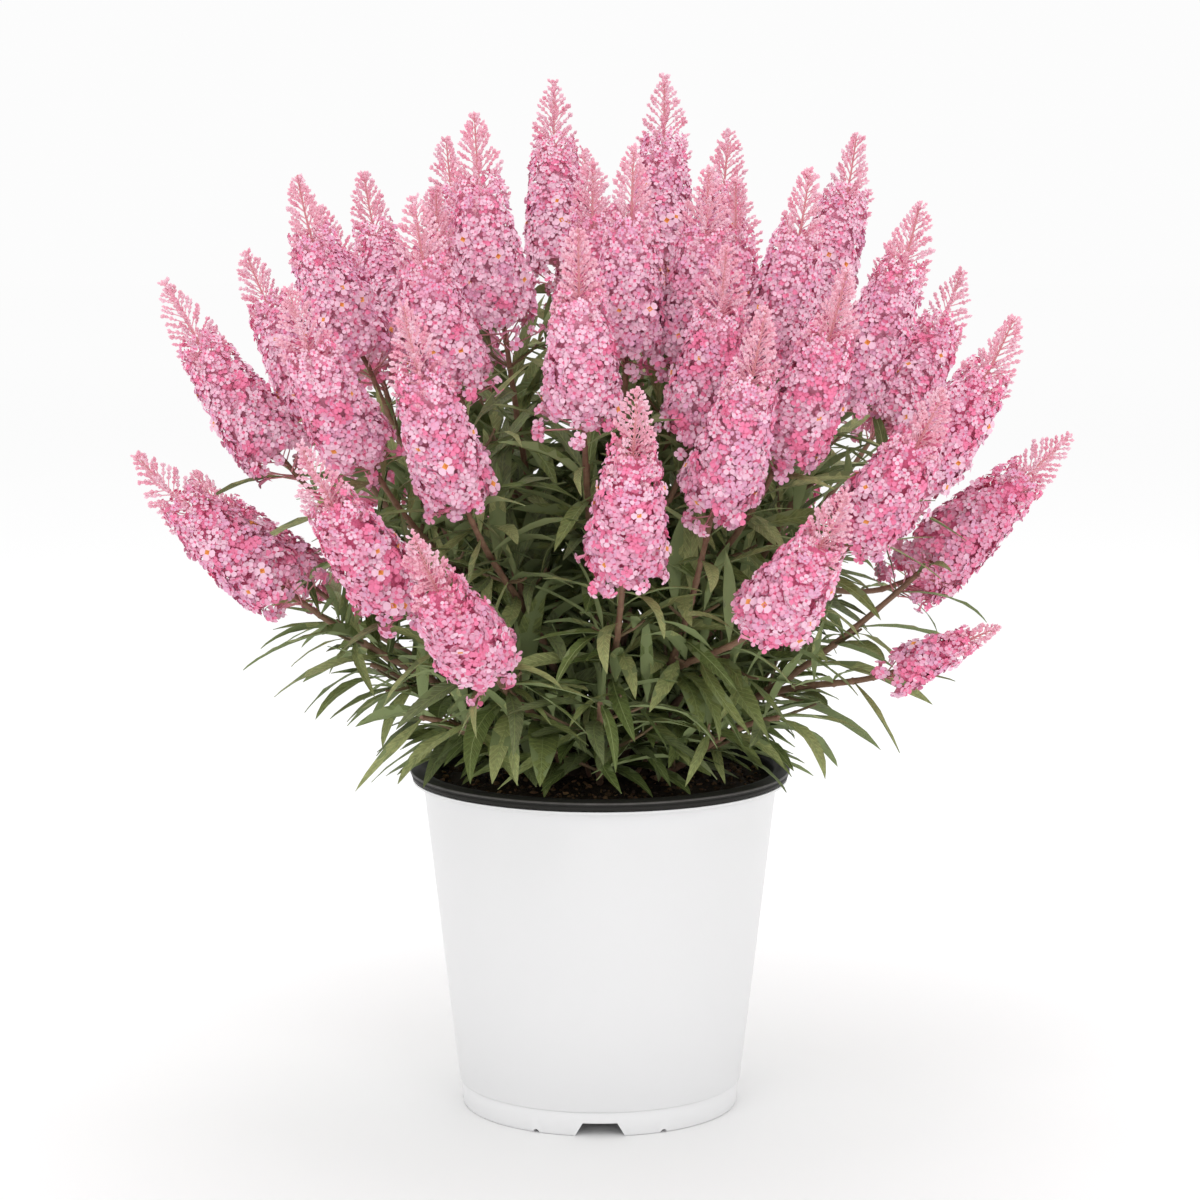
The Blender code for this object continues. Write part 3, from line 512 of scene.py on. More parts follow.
PULL_AT_END = 0.40
BARK_RELIEF = 0.07              # of the limb's radius
PAINTED_SHADE_FROM = 0.208            # painted shade: the bark is darkened at this height, near the mix, and not at this one
PAINTED_SHADE_TO = 0.258              # and clean at this one
UP = np.array([0.0, 0.0, 1.0])


def compass(bearing, lean):
    turn = math.radians(bearing)
    tilt = math.radians(lean)
    return np.array([math.sin(turn) * math.sin(tilt), -math.cos(turn) * math.sin(tilt), math.cos(tilt)])


def crown_point(bearing, lean, sunk):
    """Point this far under the crown's dome, and the direction straight out of it."""
    half = np.array([CROWN_RADIUS, CROWN_RADIUS, CROWN_HEIGHT])
    place = compass(bearing, lean) * half
    straight = unit(place / half ** 2)
    return place + UP * CROWN_BASE, straight, place + UP * CROWN_BASE - straight * sunk


def spike_line(bearing, lean, share, length):
    """Foot, tip and direction of one flower spike."""
    out = compass(bearing, lean)
    low = LEAN_FROM - DOME_CENTRE
    square = (out[0] ** 2 + out[1] ** 2) / DOME_HALF_WIDTH ** 2 + (out[2] / DOME_HALF_HEIGHT) ** 2
    half = low * out[2] / DOME_HALF_HEIGHT ** 2
    rest = (low / DOME_HALF_HEIGHT) ** 2 - 1.0
    reach = (-half + math.sqrt(half ** 2 - square * rest)) / square
    tip = UP * LEAN_FROM + out * reach * share
    first, last = AIM_LEANS
    blend = min(max((lean - first) / (last - first), 0.0), 1.0)
    along = unit(tip - UP * (AIM_LOW + blend * (AIM_HIGH - AIM_LOW)))
    return tip - along * length, tip, along


def bend(start, start_way, end, end_way, rings, stop=1.0):
    """Points of a limb that leaves its start one way and arrives at its end another way."""
    span = np.linalg.norm(end - start)
    first = start + start_way * span * PULL_AT_START
    second = end - end_way * span * PULL_AT_END
    t = np.linspace(0.0, stop, rings + 1)[:, None]
    s = 1.0 - t
    return start * s ** 3 + first * 3 * s * s * t + second * 3 * s * t * t + end * t ** 3


def ways_along(points):
    ways = np.empty_like(points)
    ways[1:-1] = points[2:] - points[:-2]
    ways[0] = points[1] - points[0]
    ways[-1] = points[-1] - points[-2]
    return unit(ways)


def about(way, side, turns):
    """Directions square to a way, at angles in radians round it from its side."""
    return np.cos(turns)[..., None] * side + np.sin(turns)[..., None] * np.cross(way, side)


def limb_skin(points, radii, sides, relief, seed):
    """Closed skin of a limb, four-cornered as young wood is, with its bark in ridges."""
    draw = np.random.default_rng(seed)
    ways = ways_along(points)
    side = unit(np.cross(ways[0], UP + [0.013, 0.007, 0.0]))
    turns = round_about(sides)
    ridges = 1.0 + relief * (0.55 * np.cos(4.0 * turns) + 0.45 * draw.uniform(-1.0, 1.0, sides))
    rings = []
    for point, way, radius in zip(points, ways, radii):
        side = unit(side - way * (side @ way))
        rough = ridges * (1.0 + 0.5 * relief * draw.uniform(-1.0, 1.0, sides))
        rings.append(point + about(way, side, turns) * (radius * rough)[:, None])
    return np.concatenate(rings + [points[:1], points[-1:]]), ring_faces(len(points), sides)


boughs = Heap()
bough_ways = {}
for number, (name, plans) in enumerate(BOUGHS.items()):
    lines = [spike_line(*plan) for plan in plans]
    middle = sum(foot for foot, _, _ in lines) / len(lines)
    way = unit(sum(along for _, _, along in lines))
    bearing = math.degrees(math.atan2(middle[0], -middle[1]))
    lean = math.degrees(math.atan2(math.hypot(middle[0], middle[1]), middle[2] - LEAN_FROM))
    _, straight, root = crown_point(bearing, lean, SUNK_IN_CROWN)
    bough_ways[name] = bend(root, straight, middle, way, BOUGH_RINGS, BOUGH_SHARE)
    swelling = 1.0 + 0.35 * np.exp(-np.arange(BOUGH_RINGS + 1) / 1.4)
    radii = np.linspace(BOUGH_FOOT_RADIUS, BOUGH_FORK_RADIUS, BOUGH_RINGS + 1) * swelling
    boughs.add(limb_skin(bough_ways[name], radii, BOUGH_SIDES, BARK_RELIEF, 100 + number), 0)
bough_bark = finish_of("bough_bark", (0.145, 0.080, 0.052), 0.80, grain=0.0010, depth=0.0004,
                       mottle=(0.24, 0.150, 0.105), specular=0.3)
# The boughs' bark is painted darker towards the mix: painted shade under the bush.
bark_nodes = bough_bark.node_tree.nodes
level = add_node(bough_bark, "SeparateXYZ", {"Vector": bark_nodes["Texture Coordinate"].outputs["Object"]})
rise = add_node(bough_bark, "MapRange", {"From Min": PAINTED_SHADE_FROM, "From Max": PAINTED_SHADE_TO,
                                         "Value": level.outputs["Z"]})
unshaded_bark = bark_nodes["Color Ramp"].outputs["Color"]
painted_shade_mix = add_node(bough_bark, "Mix", {"A": (*OLD_BARK_AND_PAINTED_SHADE, 1.0), "B": unshaded_bark, "Factor": rise.outputs["Result"]},
                   data_type="RGBA")
feed(bough_bark, bark_nodes["Principled BSDF"], {"Base Color": painted_shade_mix.outputs["Result"]})
belongs(boughs.piece("boughs", [bough_bark], crease=60.0), "bark", *[f"bough_{name}" for name in BOUGHS])


# The shoots are this year's growth. They go on from each bough's fork to its flower spikes, and
# the later ones branch off the first. They are reddish brown, swollen where leaves are set.
SHOOT_TIP_RADIUS = 0.0014
SHOOT_SIDES = 8
SHOOT_RINGS = 40
SHOOT_RING_STEP = 0.0055
BRANCH_STEP = 0.016
SPIKE_STALK = 0.014             # how far a shoot runs up inside its spike
BOUGH_BARE = 0.26               # no leaves on the lowest of this share of a bough
SHOOT_BARE = (0.009, 0.014)     # nor so near the fork, on the first shoot and on the others
LEAF_PITCH = 0.0195             # along a bough, pair to pair
SHOOT_LEAF_PITCH = 0.0160       # and along a shoot
BOUGH_LEAVES = (0.066, 0.080)   # lengths of leaves, from the first joint to the last
SHOOT_LEAVES = (0.078, 0.056)
JOINT_SWELLING = 0.28
JOINT_LENGTH = 0.0011
JOINT_RING = 0.0016             # a swelling is shaped by rings this far to either side of it
CLOSEST_RINGS = 0.0008
SPIKE_SET = 0.0035              # the flowers' weight sets a spike's foot this far outwards,
SPIKE_BOW = 0.0062              # and bows its middle out by this much more,
STIFFER = {"right_low": 0.0, "left_low": 0.6, "left": 0.6}   # or by this share of it
SPIKE_HALF_WIDTH = 0.0272
SPIKE_FULL_LENGTH = 0.1150      # a shorter spike is slimmer too
SPIKE_SLIMMEST = -0.30
PALER_BETWEEN = (0.38, 0.61)    # the higher a spike's tip stands, the paler its flowers are: painted light from above


def place_on(points, distances):
    """Places and directions at distances along a limb."""
    reach = np.concatenate([[0.0], np.cumsum(np.linalg.norm(np.diff(points, axis=0), axis=1))])
    places, ways = (np.stack([np.interp(distances, reach, rows[:, axis]) for axis in range(3)], axis=-1)
                    for rows in (points, ways_along(points)))
    return places, unit(ways)


def length_of(points):
    return np.linalg.norm(np.diff(points, axis=0), axis=1).sum()


def jointed_skin(points, foot_radius, tip_radius, joints, sides, seed):
    """Skin of a shoot or twig that swells at its joints."""
    length = length_of(points)
    rows = np.concatenate([np.arange(0.0, length, SHOOT_RING_STEP), joints, joints - JOINT_RING,
                           joints + JOINT_RING, [length]])
    rows = np.unique(np.round(rows[(rows >= 0.0) & (rows <= length)], 5))
    rows = rows[np.concatenate([[True], np.diff(rows) > CLOSEST_RINGS])]
    radii = foot_radius + (tip_radius - foot_radius) * rows / length
    for joint in joints:
        radii = radii * (1.0 + JOINT_SWELLING * np.exp(-((rows - joint) / JOINT_LENGTH) ** 2))
    return limb_skin(place_on(points, rows)[0], radii, sides, 0.06, seed)


class Limb:
    """A stretch of stem that bears leaves: its points, its leaf joints and the size of its leaves."""

    def __init__(self, points, first, last, pitch, sizes, turn, spray, sag=0.0):
        self.points = points
        self.joints = np.arange(first, max(length_of(points) - last, first), pitch)
        self.sizes = sizes
        self.turn = turn
        self.spray = spray
        self.sag = sag
        limbs.append(self)


def bulge(shares):
    """How much of its bow a spike has at shares of its length."""
    shares = np.clip(shares, 0.0, 1.0)
    return (4.0 * shares * (1.0 - shares))[..., None]


class Spike:
    """A flower spike, whose foot goes outwards and whose middle bows under its flowers' weight."""

    def __init__(self, bough, plan):
        foot, tip, along = spike_line(*plan)
        out = tip * [1.0, 1.0, 0.0]
        weight = STIFFER.get(bough, 1.0)
        self.bough = bough
        self.tip = tip
        self.foot = foot + unit(out - along * (out @ along)) * SPIKE_SET * weight
        self.along = unit(tip - self.foot)
        self.bow = unit(out - self.along * (out @ self.along)) * SPIKE_BOW * weight
        self.length = np.linalg.norm(tip - self.foot)
        fullness = SPIKE_SLIMMEST + (1.0 - SPIKE_SLIMMEST) * self.length / SPIKE_FULL_LENGTH
        self.width = SPIKE_HALF_WIDTH * min(1.0, fullness)
        self.side = unit(np.cross(self.along, UP + [0.011, 0.0, 0.0]))
        self.paler = np.interp(tip[2], PALER_BETWEEN, (0.0, 1.0))

    def out(self, turns):
        return about(self.along, self.side, turns)

    def at(self, heights, turns=0.0, reach=0.0):
        """Points at shares of its length, this far out of its straight middle line."""
        rise, reach = (np.asarray(value)[..., None] for value in (heights * self.length, reach))
        return self.foot + self.along * rise + self.out(turns) * reach

    def bowed(self, points):
        return points + bulge((points - self.foot) @ self.along / self.length) * self.bow


limbs = []
shoots = Heap()
spikes = []
for number, (name, plans) in enumerate(BOUGHS.items()):
    bough = bough_ways[name]
    Limb(bough, BOUGH_BARE * length_of(bough), 0.004, LEAF_PITCH, BOUGH_LEAVES, 45.0, number)
    for index, plan in enumerate(plans):
        spike = Spike(name, plan)
        start, leave = place_on(bough, length_of(bough))
        if index > 0:
            start, leave = place_on(first_shoot, BRANCH_STEP * index)
            leave = unit(leave + unit(spike.foot - start))
        shoot = bend(start, leave, spike.foot + spike.along * SPIKE_STALK, spike.along, SHOOT_RINGS)
        if index == 0:
            first_shoot = shoot
        limb = Limb(shoot, SHOOT_BARE[min(index, 1)], SPIKE_STALK + 0.007, SHOOT_LEAF_PITCH, SHOOT_LEAVES,
                    90.0 * (index % 2), number)
        skin, faces = jointed_skin(shoot, BOUGH_FORK_RADIUS, SHOOT_TIP_RADIUS, limb.joints, SHOOT_SIDES,
                                   200 + len(limbs))
        shoots.add((spike.bowed(skin), faces), 0)
        spikes.append(spike)
mass_names = [f"mass_{name}" for name in BOUGHS]
shoot_bark = finish_of("shoot_bark", (0.195, 0.098, 0.066), 0.62, grain=0.0008, depth=0.00018,
                       mottle=(0.30, 0.185, 0.115), specular=0.35)
belongs(shoots.piece("shoots", [shoot_bark], crease=60.0), "bark", *mass_names)


# Eight leafy shoots without flowers stand evenly round the crown and arch over the rim, and all
# limbs carry short side twigs. The twigs are thin and green to brown.
LEAFY_COUNT = 8
LEAFY_LEANS = (56.0, 64.0, 46.0)
LEAFY_LENGTH = 0.120
LEAFY_FOOT = 78.0
LEAFY_ARCH = 16.0
LEAFY_LEAVES = (0.066, 0.058)
SIDE_TWIGS = ((0.22, 40.0), (0.38, -42.0), (0.54, 46.0), (0.70, -46.0))   # share of the shoot, and angle
SIDE_TWIG_LENGTH = 0.052
SIDE_TWIG_LEAVES = ((0.062, 0.052), 0.016, 0.0200)   # lengths of leaves, bare foot, and pitch
AXIL_TWIG_LENGTH = 0.026
AXIL_TWIG_LEAVES = ((0.054, 0.044), 0.011, 0.0115)
BARE_FROM = 0.150               # no axil twigs further out than this
BASAL_COUNT = 15
BASAL_LENGTH = 0.048
BASAL_RADII = (0.0015, 0.0010)
BASAL_FOOT = 62.0
BASAL_ARCH = 8.0
BASAL_LEAVES = (0.060, 0.054)
BASAL_PITCH = 0.0125
BASAL_SAG = 0.42                # their leaves hang by this much
SUNK_SHOOT = 0.001              # how far a shoot starts under the crown's bark
TWIG_RADIUS = 0.0011
twigs = Heap()
rng = np.random.default_rng(21)


def side_of(ways, turns):
    """Unit vectors square to each way, turned about it by an angle in degrees."""
    level = np.cross(ways, UP)
    short = np.linalg.norm(level, axis=-1, keepdims=True)
    level = np.where(short < 0.05, [1.0, 0.0, 0.0], level / np.maximum(short, 1e-9))
    upper = unit(np.cross(level, ways))
    turns = np.radians(turns)[..., None]
    return level * np.cos(turns) + upper * np.sin(turns)


def grow_twig(parent, distance, away, angle, length, sizes, first, pitch, spray):
    """A side twig with its own leaf joints, which leaves its parent at an angle in degrees."""
    start, along = place_on(parent, distance)
    way = along * math.cos(math.radians(angle)) + away * math.sin(math.radians(angle))
    points = bend(start, way, start + way * length, unit(way + along * 0.3 + UP * 0.1), 8)
    limb = Limb(points, first, 0.002, pitch, sizes, rng.uniform(0.0, 90.0), spray)
    twigs.add(jointed_skin(points, TWIG_RADIUS, 0.7 * TWIG_RADIUS, limb.joints, 5, 300 + len(limbs)), 0)


def from_crown(bearing, lean, foot, length, arch, rings):
    """Points of a shoot that springs from the crown and arches over."""
    start, straight, root = crown_point(bearing, foot, SUNK_SHOOT)
    end = start + compass(bearing, lean) * length
    return bend(root, straight, end, compass(bearing, lean + arch), rings)


for index in range(LEAFY_COUNT):
    lean = LEAFY_LEANS[index % len(LEAFY_LEANS)]
    points = from_crown(index * 360.0 / LEAFY_COUNT, lean, LEAFY_FOOT, LEAFY_LENGTH, LEAFY_ARCH, 30)
    limb = Limb(points, 0.007, 0.002, SHOOT_LEAF_PITCH, LEAFY_LEAVES, 0.0, 40 + index)
    twigs.add(jointed_skin(points, BOUGH_FORK_RADIUS, SHOOT_TIP_RADIUS, limb.joints, 7, 260 + index), 1)
    for share, turn in SIDE_TWIGS:
        distance = share * length_of(points)
        away = unit(np.cross(place_on(points, distance)[1], UP)) * math.copysign(1.0, turn)
        grow_twig(points, distance, away, abs(turn), SIDE_TWIG_LENGTH * rng.uniform(0.75, 1.0),
                  *SIDE_TWIG_LEAVES, 40 + index)
for index in range(BASAL_COUNT):
    bearing = (index + 0.5) * 360.0 / BASAL_COUNT + rng.uniform(-6.0, 6.0)
    lean = rng.uniform(26.0, 54.0)
    length = BASAL_LENGTH * rng.uniform(0.8, 1.2)
    points = from_crown(bearing, lean, BASAL_FOOT, length, BASAL_ARCH, 10)
    limb = Limb(points, 0.010, 0.001, BASAL_PITCH, BASAL_LEAVES, rng.uniform(0.0, 90.0), 50 + index % 8,
                BASAL_SAG)
    twigs.add(jointed_skin(points, *BASAL_RADII, limb.joints, 5, 280 + index), 1)
for limb in limbs[:len(BOUGHS) + len(spikes)]:
    for number, joint in enumerate(limb.joints[:-1]):
        place, along = place_on(limb.points, joint)
        if number % 3 != 1 or math.hypot(place[0], place[1]) > BARE_FROM:
            continue
        for half_turn in (0.0, 180.0):
            away = side_of(along, limb.turn + 90.0 * number + half_turn + rng.uniform(-15.0, 15.0))
            grow_twig(limb.points, joint, away, rng.uniform(38.0, 52.0),
                      AXIL_TWIG_LENGTH * rng.uniform(0.6, 1.25), *AXIL_TWIG_LEAVES, limb.spray)
leafy_names = [f"mass_leafy_{index + 1}" for index in range(LEAFY_COUNT)]
twig_bark = finish_of("twig_bark", (0.150, 0.120, 0.062), 0.6, grain=0.0007, depth=0.00012,
                      mottle=(0.215, 0.125, 0.075), specular=0.35)
belongs(twigs.piece("twigs", [twig_bark, shoot_bark], crease=60.0), "bark", *mass_names, *leafy_names)


# The leaves stand in opposite pairs, each pair turned a quarter from the last. They are narrow
# and pointed, matt olive above with a pale midrib, felted grey-green below, and they arch over.
LEAF_SPREAD = 0.13
LEAF_ANGLE = 60.0
LEAF_ANGLE_SPREAD = 13.0
LEAF_TURN_SPREAD = 20.0
LEAF_DROOP = 0.07
LEAF_STEEPEST = -0.28           # a chord that falls by more than this is eased
LEAF_LOWEST = 0.2050
LEAF_HIGHEST = 0.5020           # above this the shoots bear flowers only
LEAF_SMALL = 0.052              # a leaf under this length is made with fewer rows
LEAF_SLENDERNESS = 0.086        # half of its width, of its length
LEAF_SLIMMING = ((0.085, 0.160), (1.10, 0.69))   # far from the pot's axis they are narrower
LEAF_LIT_PALE_SHARE = ((0.09, 0.15), (0.07, 0.68))  # and there more of them get the pale young finish, as painted light
LEAF_FALLEN = 0.38              # of the low leaves out on the right, where the bush is open
FALLEN_FROM = 0.095
FALLEN_BELOW = 0.350
LEAF_THICKNESS = 0.00045
MIDRIB_WIDTH = 0.0009
VEIN_STEP = 0.0046
VEIN_SLANT = 0.0080
VEIN_DEPTH = 0.0003
LEAF_ARCHES = (0.14, 0.48)      # radians between the chord and either end
LEAF_SWING = 0.45               # and how far the blade turns aside at most
LEAF_ROLLS = (0.22, 0.36)       # spread of a blade's roll, and of its twist from root to tip
LEAF_FOLDS = (0.08, 0.50)       # radians that each half is folded up
LEAF_WAVES = (9.0, 17.0)        # the edges wave at this rate,
WAVE_DEPTH = 0.13               # by this share of the width
LEAF_STATIONS = np.array([0.0, 0.08, 0.20, 0.35, 0.50, 0.66, 0.81, 0.93, 1.0])
LEAF_OUTLINE = np.array([0.13, 0.22, 0.64, 0.94, 1.0, 0.88, 0.60, 0.28, 0.02])
SMALL_LEAF_ROWS = [0, 2, 3, 5, 7, 8]
SHADE_SHARES = (0.35, 0.40, 0.25)
SPRAYS = 60
SPIKE_HEIGHTS = (0.03, 0.06, 0.10, 0.16, 0.24, 0.36, 0.50, 0.60, 0.68, 0.78, 0.88, 0.95, 1.0)
SPIKE_OUTLINE = (0.60, 0.70, 0.74, 0.74, 0.71, 0.65, 0.57, 0.51, 0.45, 0.37, 0.28, 0.20, 0.12)
FLOWER_ROOM = 1.05              # leaves keep out of this much of a spike's width
IN_THE_RIM = 0.0985             # nearer to the axis than this is over the mix
RIM_ROOM = 0.1185
ABOVE_RIM = 0.0012
ABOVE_MIX = 0.0035
FRONT_FROM = -0.085             # at the front of the pot the leaves stand higher above the rim
ABOVE_FRONT = 0.007
rng = np.random.default_rng(31)


def leaf_rows():
    """Root, chord, length and spray of every leaf on every limb."""
    rows = []
    for limb in limbs:
        count = len(limb.joints)
        if count == 0:
            continue
        middles, along = place_on(limb.points, limb.joints)
        usual = limb.sizes[0] + (limb.sizes[1] - limb.sizes[0]) * np.linspace(0.0, 1.0, count)
        for half_turn in (0.0, 180.0):
            turns = limb.turn + 90.0 * np.arange(count) + half_turn
            side = side_of(along, turns + rng.uniform(-LEAF_TURN_SPREAD, LEAF_TURN_SPREAD, count))
            tilt = LEAF_ANGLE + rng.uniform(-LEAF_ANGLE_SPREAD, LEAF_ANGLE_SPREAD, count)
            tilt = np.radians(tilt)[:, None]
            chord = along * np.cos(tilt) + side * np.sin(tilt)
            droop = LEAF_DROOP * (1.0 + rng.uniform(-1.0, 1.0, count))
            chord[:, 2] -= droop * (1.0 - chord[:, 2] ** 2)
            chord[:, 2] += 0.6 * np.maximum(LEAF_STEEPEST - chord[:, 2], 0.0) - limb.sag
            length = usual * (1.0 + rng.uniform(-LEAF_SPREAD, LEAF_SPREAD, count))
            rows.append((middles, unit(chord), length, np.full(count, limb.spray)))
    return [np.concatenate(column) for column in zip(*rows)]


def lift_low_leaves(roots, chords, lengths):
    """A leaf that would hang below the rim lies flatter."""
    flattest = (LEAF_LOWEST - roots[:, 2]) / lengths
    flat = unit(chords * [1.0, 1.0, 0.0] + [1e-9, 0.0, 0.0])
    lifted = unit(flat + UP * flattest[:, None])
    return np.where((chords[:, 2] < flattest)[:, None], lifted, chords)


def leaf_lines(roots, chords, lengths, stations):
    """Middle line of each leaf, with its side and upper directions at every station."""
    count = len(roots)
    rise = np.arcsin(np.clip(chords[:, 2], -1.0, 1.0))
    arch = rng.uniform(*LEAF_ARCHES, count)
    swing = rng.uniform(-LEAF_SWING, LEAF_SWING, count)
    bearing = np.arctan2(chords[:, 1], chords[:, 0])

    def way_at(share):
        tilt = rise[:, None] + arch[:, None] * (1.0 - 2.0 * share)
        turn = bearing[:, None] + swing[:, None] * (2.0 * share - 1.0)
        way = np.stack([np.cos(tilt) * np.cos(turn), np.cos(tilt) * np.sin(turn), np.sin(tilt)], axis=2)
        return way, turn

    halfway = (stations[1:] + stations[:-1]) / 2.0
    steps = way_at(halfway)[0] * (np.diff(stations)[None, :, None] * lengths[:, None, None])
    lines = np.concatenate([roots[:, None], roots[:, None] + np.cumsum(steps, axis=1)], axis=1)
    ways, turn = way_at(stations)
    side = np.stack([np.sin(turn), -np.cos(turn), np.zeros_like(turn)], axis=2)
    upper = np.cross(side, ways)
    roll, twist = (rng.normal(0.0, spread, count)[:, None] for spread in LEAF_ROLLS)
    roll = (roll + twist * stations)[..., None]
    return lines, side * np.cos(roll) + upper * np.sin(roll), upper * np.cos(roll) - side * np.sin(roll)


def leaf_skins(lines, sides, uppers, half_widths, stations):
    """Closed thin blades folded along a raised midrib. Kinds: 0 blade, 1 midrib, 2 underside."""
    count, rows = lines.shape[:2]
    width = half_widths[:, None] * np.interp(stations, LEAF_STATIONS, LEAF_OUTLINE)
    fold, waves, start = (rng.uniform(*ends, count)[:, None] for ends in (LEAF_FOLDS, LEAF_WAVES, ANY_ROLL))
    wave = (WAVE_DEPTH * width * np.sin(stations * waves + start))[..., None] * uppers
    rib = np.minimum(0.5 * MIDRIB_WIDTH * (1.0 - 0.75 * stations), 0.45 * width)[..., None] * sides
    out = (width * np.cos(fold))[..., None] * sides
    up = (width * np.sin(fold))[..., None] * uppers
    low = 0.5 * LEAF_THICKNESS * uppers
    ring = [lines - out + up + wave, lines - rib + low, lines + rib + low, lines + out + up - wave,
            lines - low]
    verts = np.stack(ring, axis=2).reshape(-1, 3)
    faces, kinds = [], []
    for corner, kind in enumerate((0, 1, 0, 2, 2)):
        after = (corner + 1) % 5
        for under in range(0, 5 * rows - 5, 5):
            over = under + 5
            faces += [(under + corner, under + after, over + after),
                      (under + corner, over + after, over + corner)]
            kinds += [kind] * 2
    last = 5 * (rows - 1)
    faces += [(corner, corner - 1, 0) for corner in (2, 3, 4)]
    faces += [(last, last + corner - 1, last + corner) for corner in (2, 3, 4)]
    moved = np.array(faces)[None] + (np.arange(count) * 5 * rows)[:, None, None]
    return (verts, moved.reshape(-1, 3)), np.array(kinds + [2] * 6)


def clear_of_flowers(points):
    """True where a row of points keeps out of every flower spike."""
    clear = np.ones(len(points), dtype=bool)
    for spike in spikes:
        away = points - spike.foot
        height = away @ spike.along
        share = height / spike.length
        away = away - bulge(share) * spike.bow
        reach = np.sqrt(np.maximum((away ** 2).sum(axis=-1) - height ** 2, 0.0))
        room = np.interp(share, SPIKE_HEIGHTS, SPIKE_OUTLINE, left=0.0, right=0.0)
        clear &= ~(reach < room * spike.width * FLOWER_ROOM).any(axis=1)
    return clear


def clear_of_pot(points):
    """True where a row of points keeps off the rim and out of the mix."""
    reach = np.hypot(points[..., 0], points[..., 1])
    height = points[..., 2]
    outside = reach > IN_THE_RIM
    in_rim = outside & (reach < RIM_ROOM) & (height < RIM_TOP + ABOVE_RIM)
    in_mix = ~outside & (height < MIX_TOP + ABOVE_MIX + MIX_RISE * (1.0 - (reach / 0.1) ** 2))
    over_front = outside & (points[..., 1] < FRONT_FROM) & (height < RIM_TOP + ABOVE_FRONT)
    return ~(in_rim | in_mix | over_front).any(axis=1)


def veined(finish, pale):
    """Side veins that slant from the midrib to the edge: paler lines, a little sunk."""
    nodes = finish.node_tree.nodes
    place = add_node(finish, "UVMap", {}, uv_map="blade")
    parts = add_node(finish, "SeparateXYZ", {"Vector": place.outputs["UV"]})
    aside = add_node(finish, "Math", {0: parts.outputs["X"]}, operation="ABSOLUTE")
    slanted = add_node(finish, "Math", {0: aside.outputs["Value"], 1: -VEIN_SLANT, 2: parts.outputs["Y"]},
                       operation="MULTIPLY_ADD")
    turns = add_node(finish, "Math", {0: slanted.outputs["Value"], 1: 2.0 * math.pi / VEIN_STEP},
                     operation="MULTIPLY")
    wave = add_node(finish, "Math", {0: turns.outputs["Value"]}, operation="SINE")
    line = add_node(finish, "MapRange", {"From Min": 0.55, "To Max": 0.6, "Value": wave.outputs["Value"]})
    tint = add_node(finish, "Mix", {"A": nodes["Color Ramp"].outputs["Color"], "B": (*pale, 1.0),
                                    "Factor": line.outputs["Result"]}, data_type="RGBA")
    relief = add_node(finish, "Bump", {"Distance": VEIN_DEPTH, "Height": line.outputs["Result"]},
                      invert=True)
    feed(finish, nodes["Principled BSDF"], {"Base Color": tint.outputs["Result"],
                                            "Normal": relief.outputs["Normal"]})
    return finish


leaf_finishes = []
# The young finish is the palest; it goes mostly to the outer leaves, as painted light.
for name, top in (("dark", (0.152, 0.200, 0.058)), ("olive", (0.222, 0.268, 0.086)),
                  ("grey", (0.222, 0.260, 0.118)), ("young", (0.390, 0.430, 0.172))):
    blade = finish_of(f"leaf_{name}", top, 0.55, grain=0.0005, mottle=[0.60 * share for share in top],
                      spread=0.4, specular=0.35)
    leaf_finishes.append(veined(blade, [min(1.26 * share, 1.0) for share in top]))
leaf_finishes += [
    finish_of("leaf_midrib", (0.270, 0.325, 0.130), 0.55, grain=0.0009, depth=0.0001, specular=0.3),
    finish_of("leaf_felt", (0.225, 0.275, 0.120), 0.75, grain=0.0005, depth=0.0002, specular=0.2)]
roots, chords, lengths, sprays = leaf_rows()
chords = lift_low_leaves(roots, chords, lengths)
lines, sides, uppers = leaf_lines(roots, chords, lengths, LEAF_STATIONS)
free = clear_of_flowers(lines[:, 2:]) & clear_of_pot(lines[:, 1:])
free &= lines[..., 2].max(axis=1) < LEAF_HIGHEST
low_right = (roots[:, 0] > FALLEN_FROM) & (roots[:, 2] < FALLEN_BELOW)
free &= ~(low_right & (np.random.default_rng(33).random(len(roots)) < LEAF_FALLEN))
far_out = np.hypot(roots[:, 0], roots[:, 1])
slimming = np.interp(far_out, *LEAF_SLIMMING)
half_widths = lengths * LEAF_SLENDERNESS * slimming * rng.uniform(0.82, 1.22, len(lengths))
spray_shades = rng.choice(3, SPRAYS, p=SHADE_SHARES)
shades = np.where(rng.random(len(lengths)) < 0.55, spray_shades[sprays], rng.choice(3, len(lengths)))
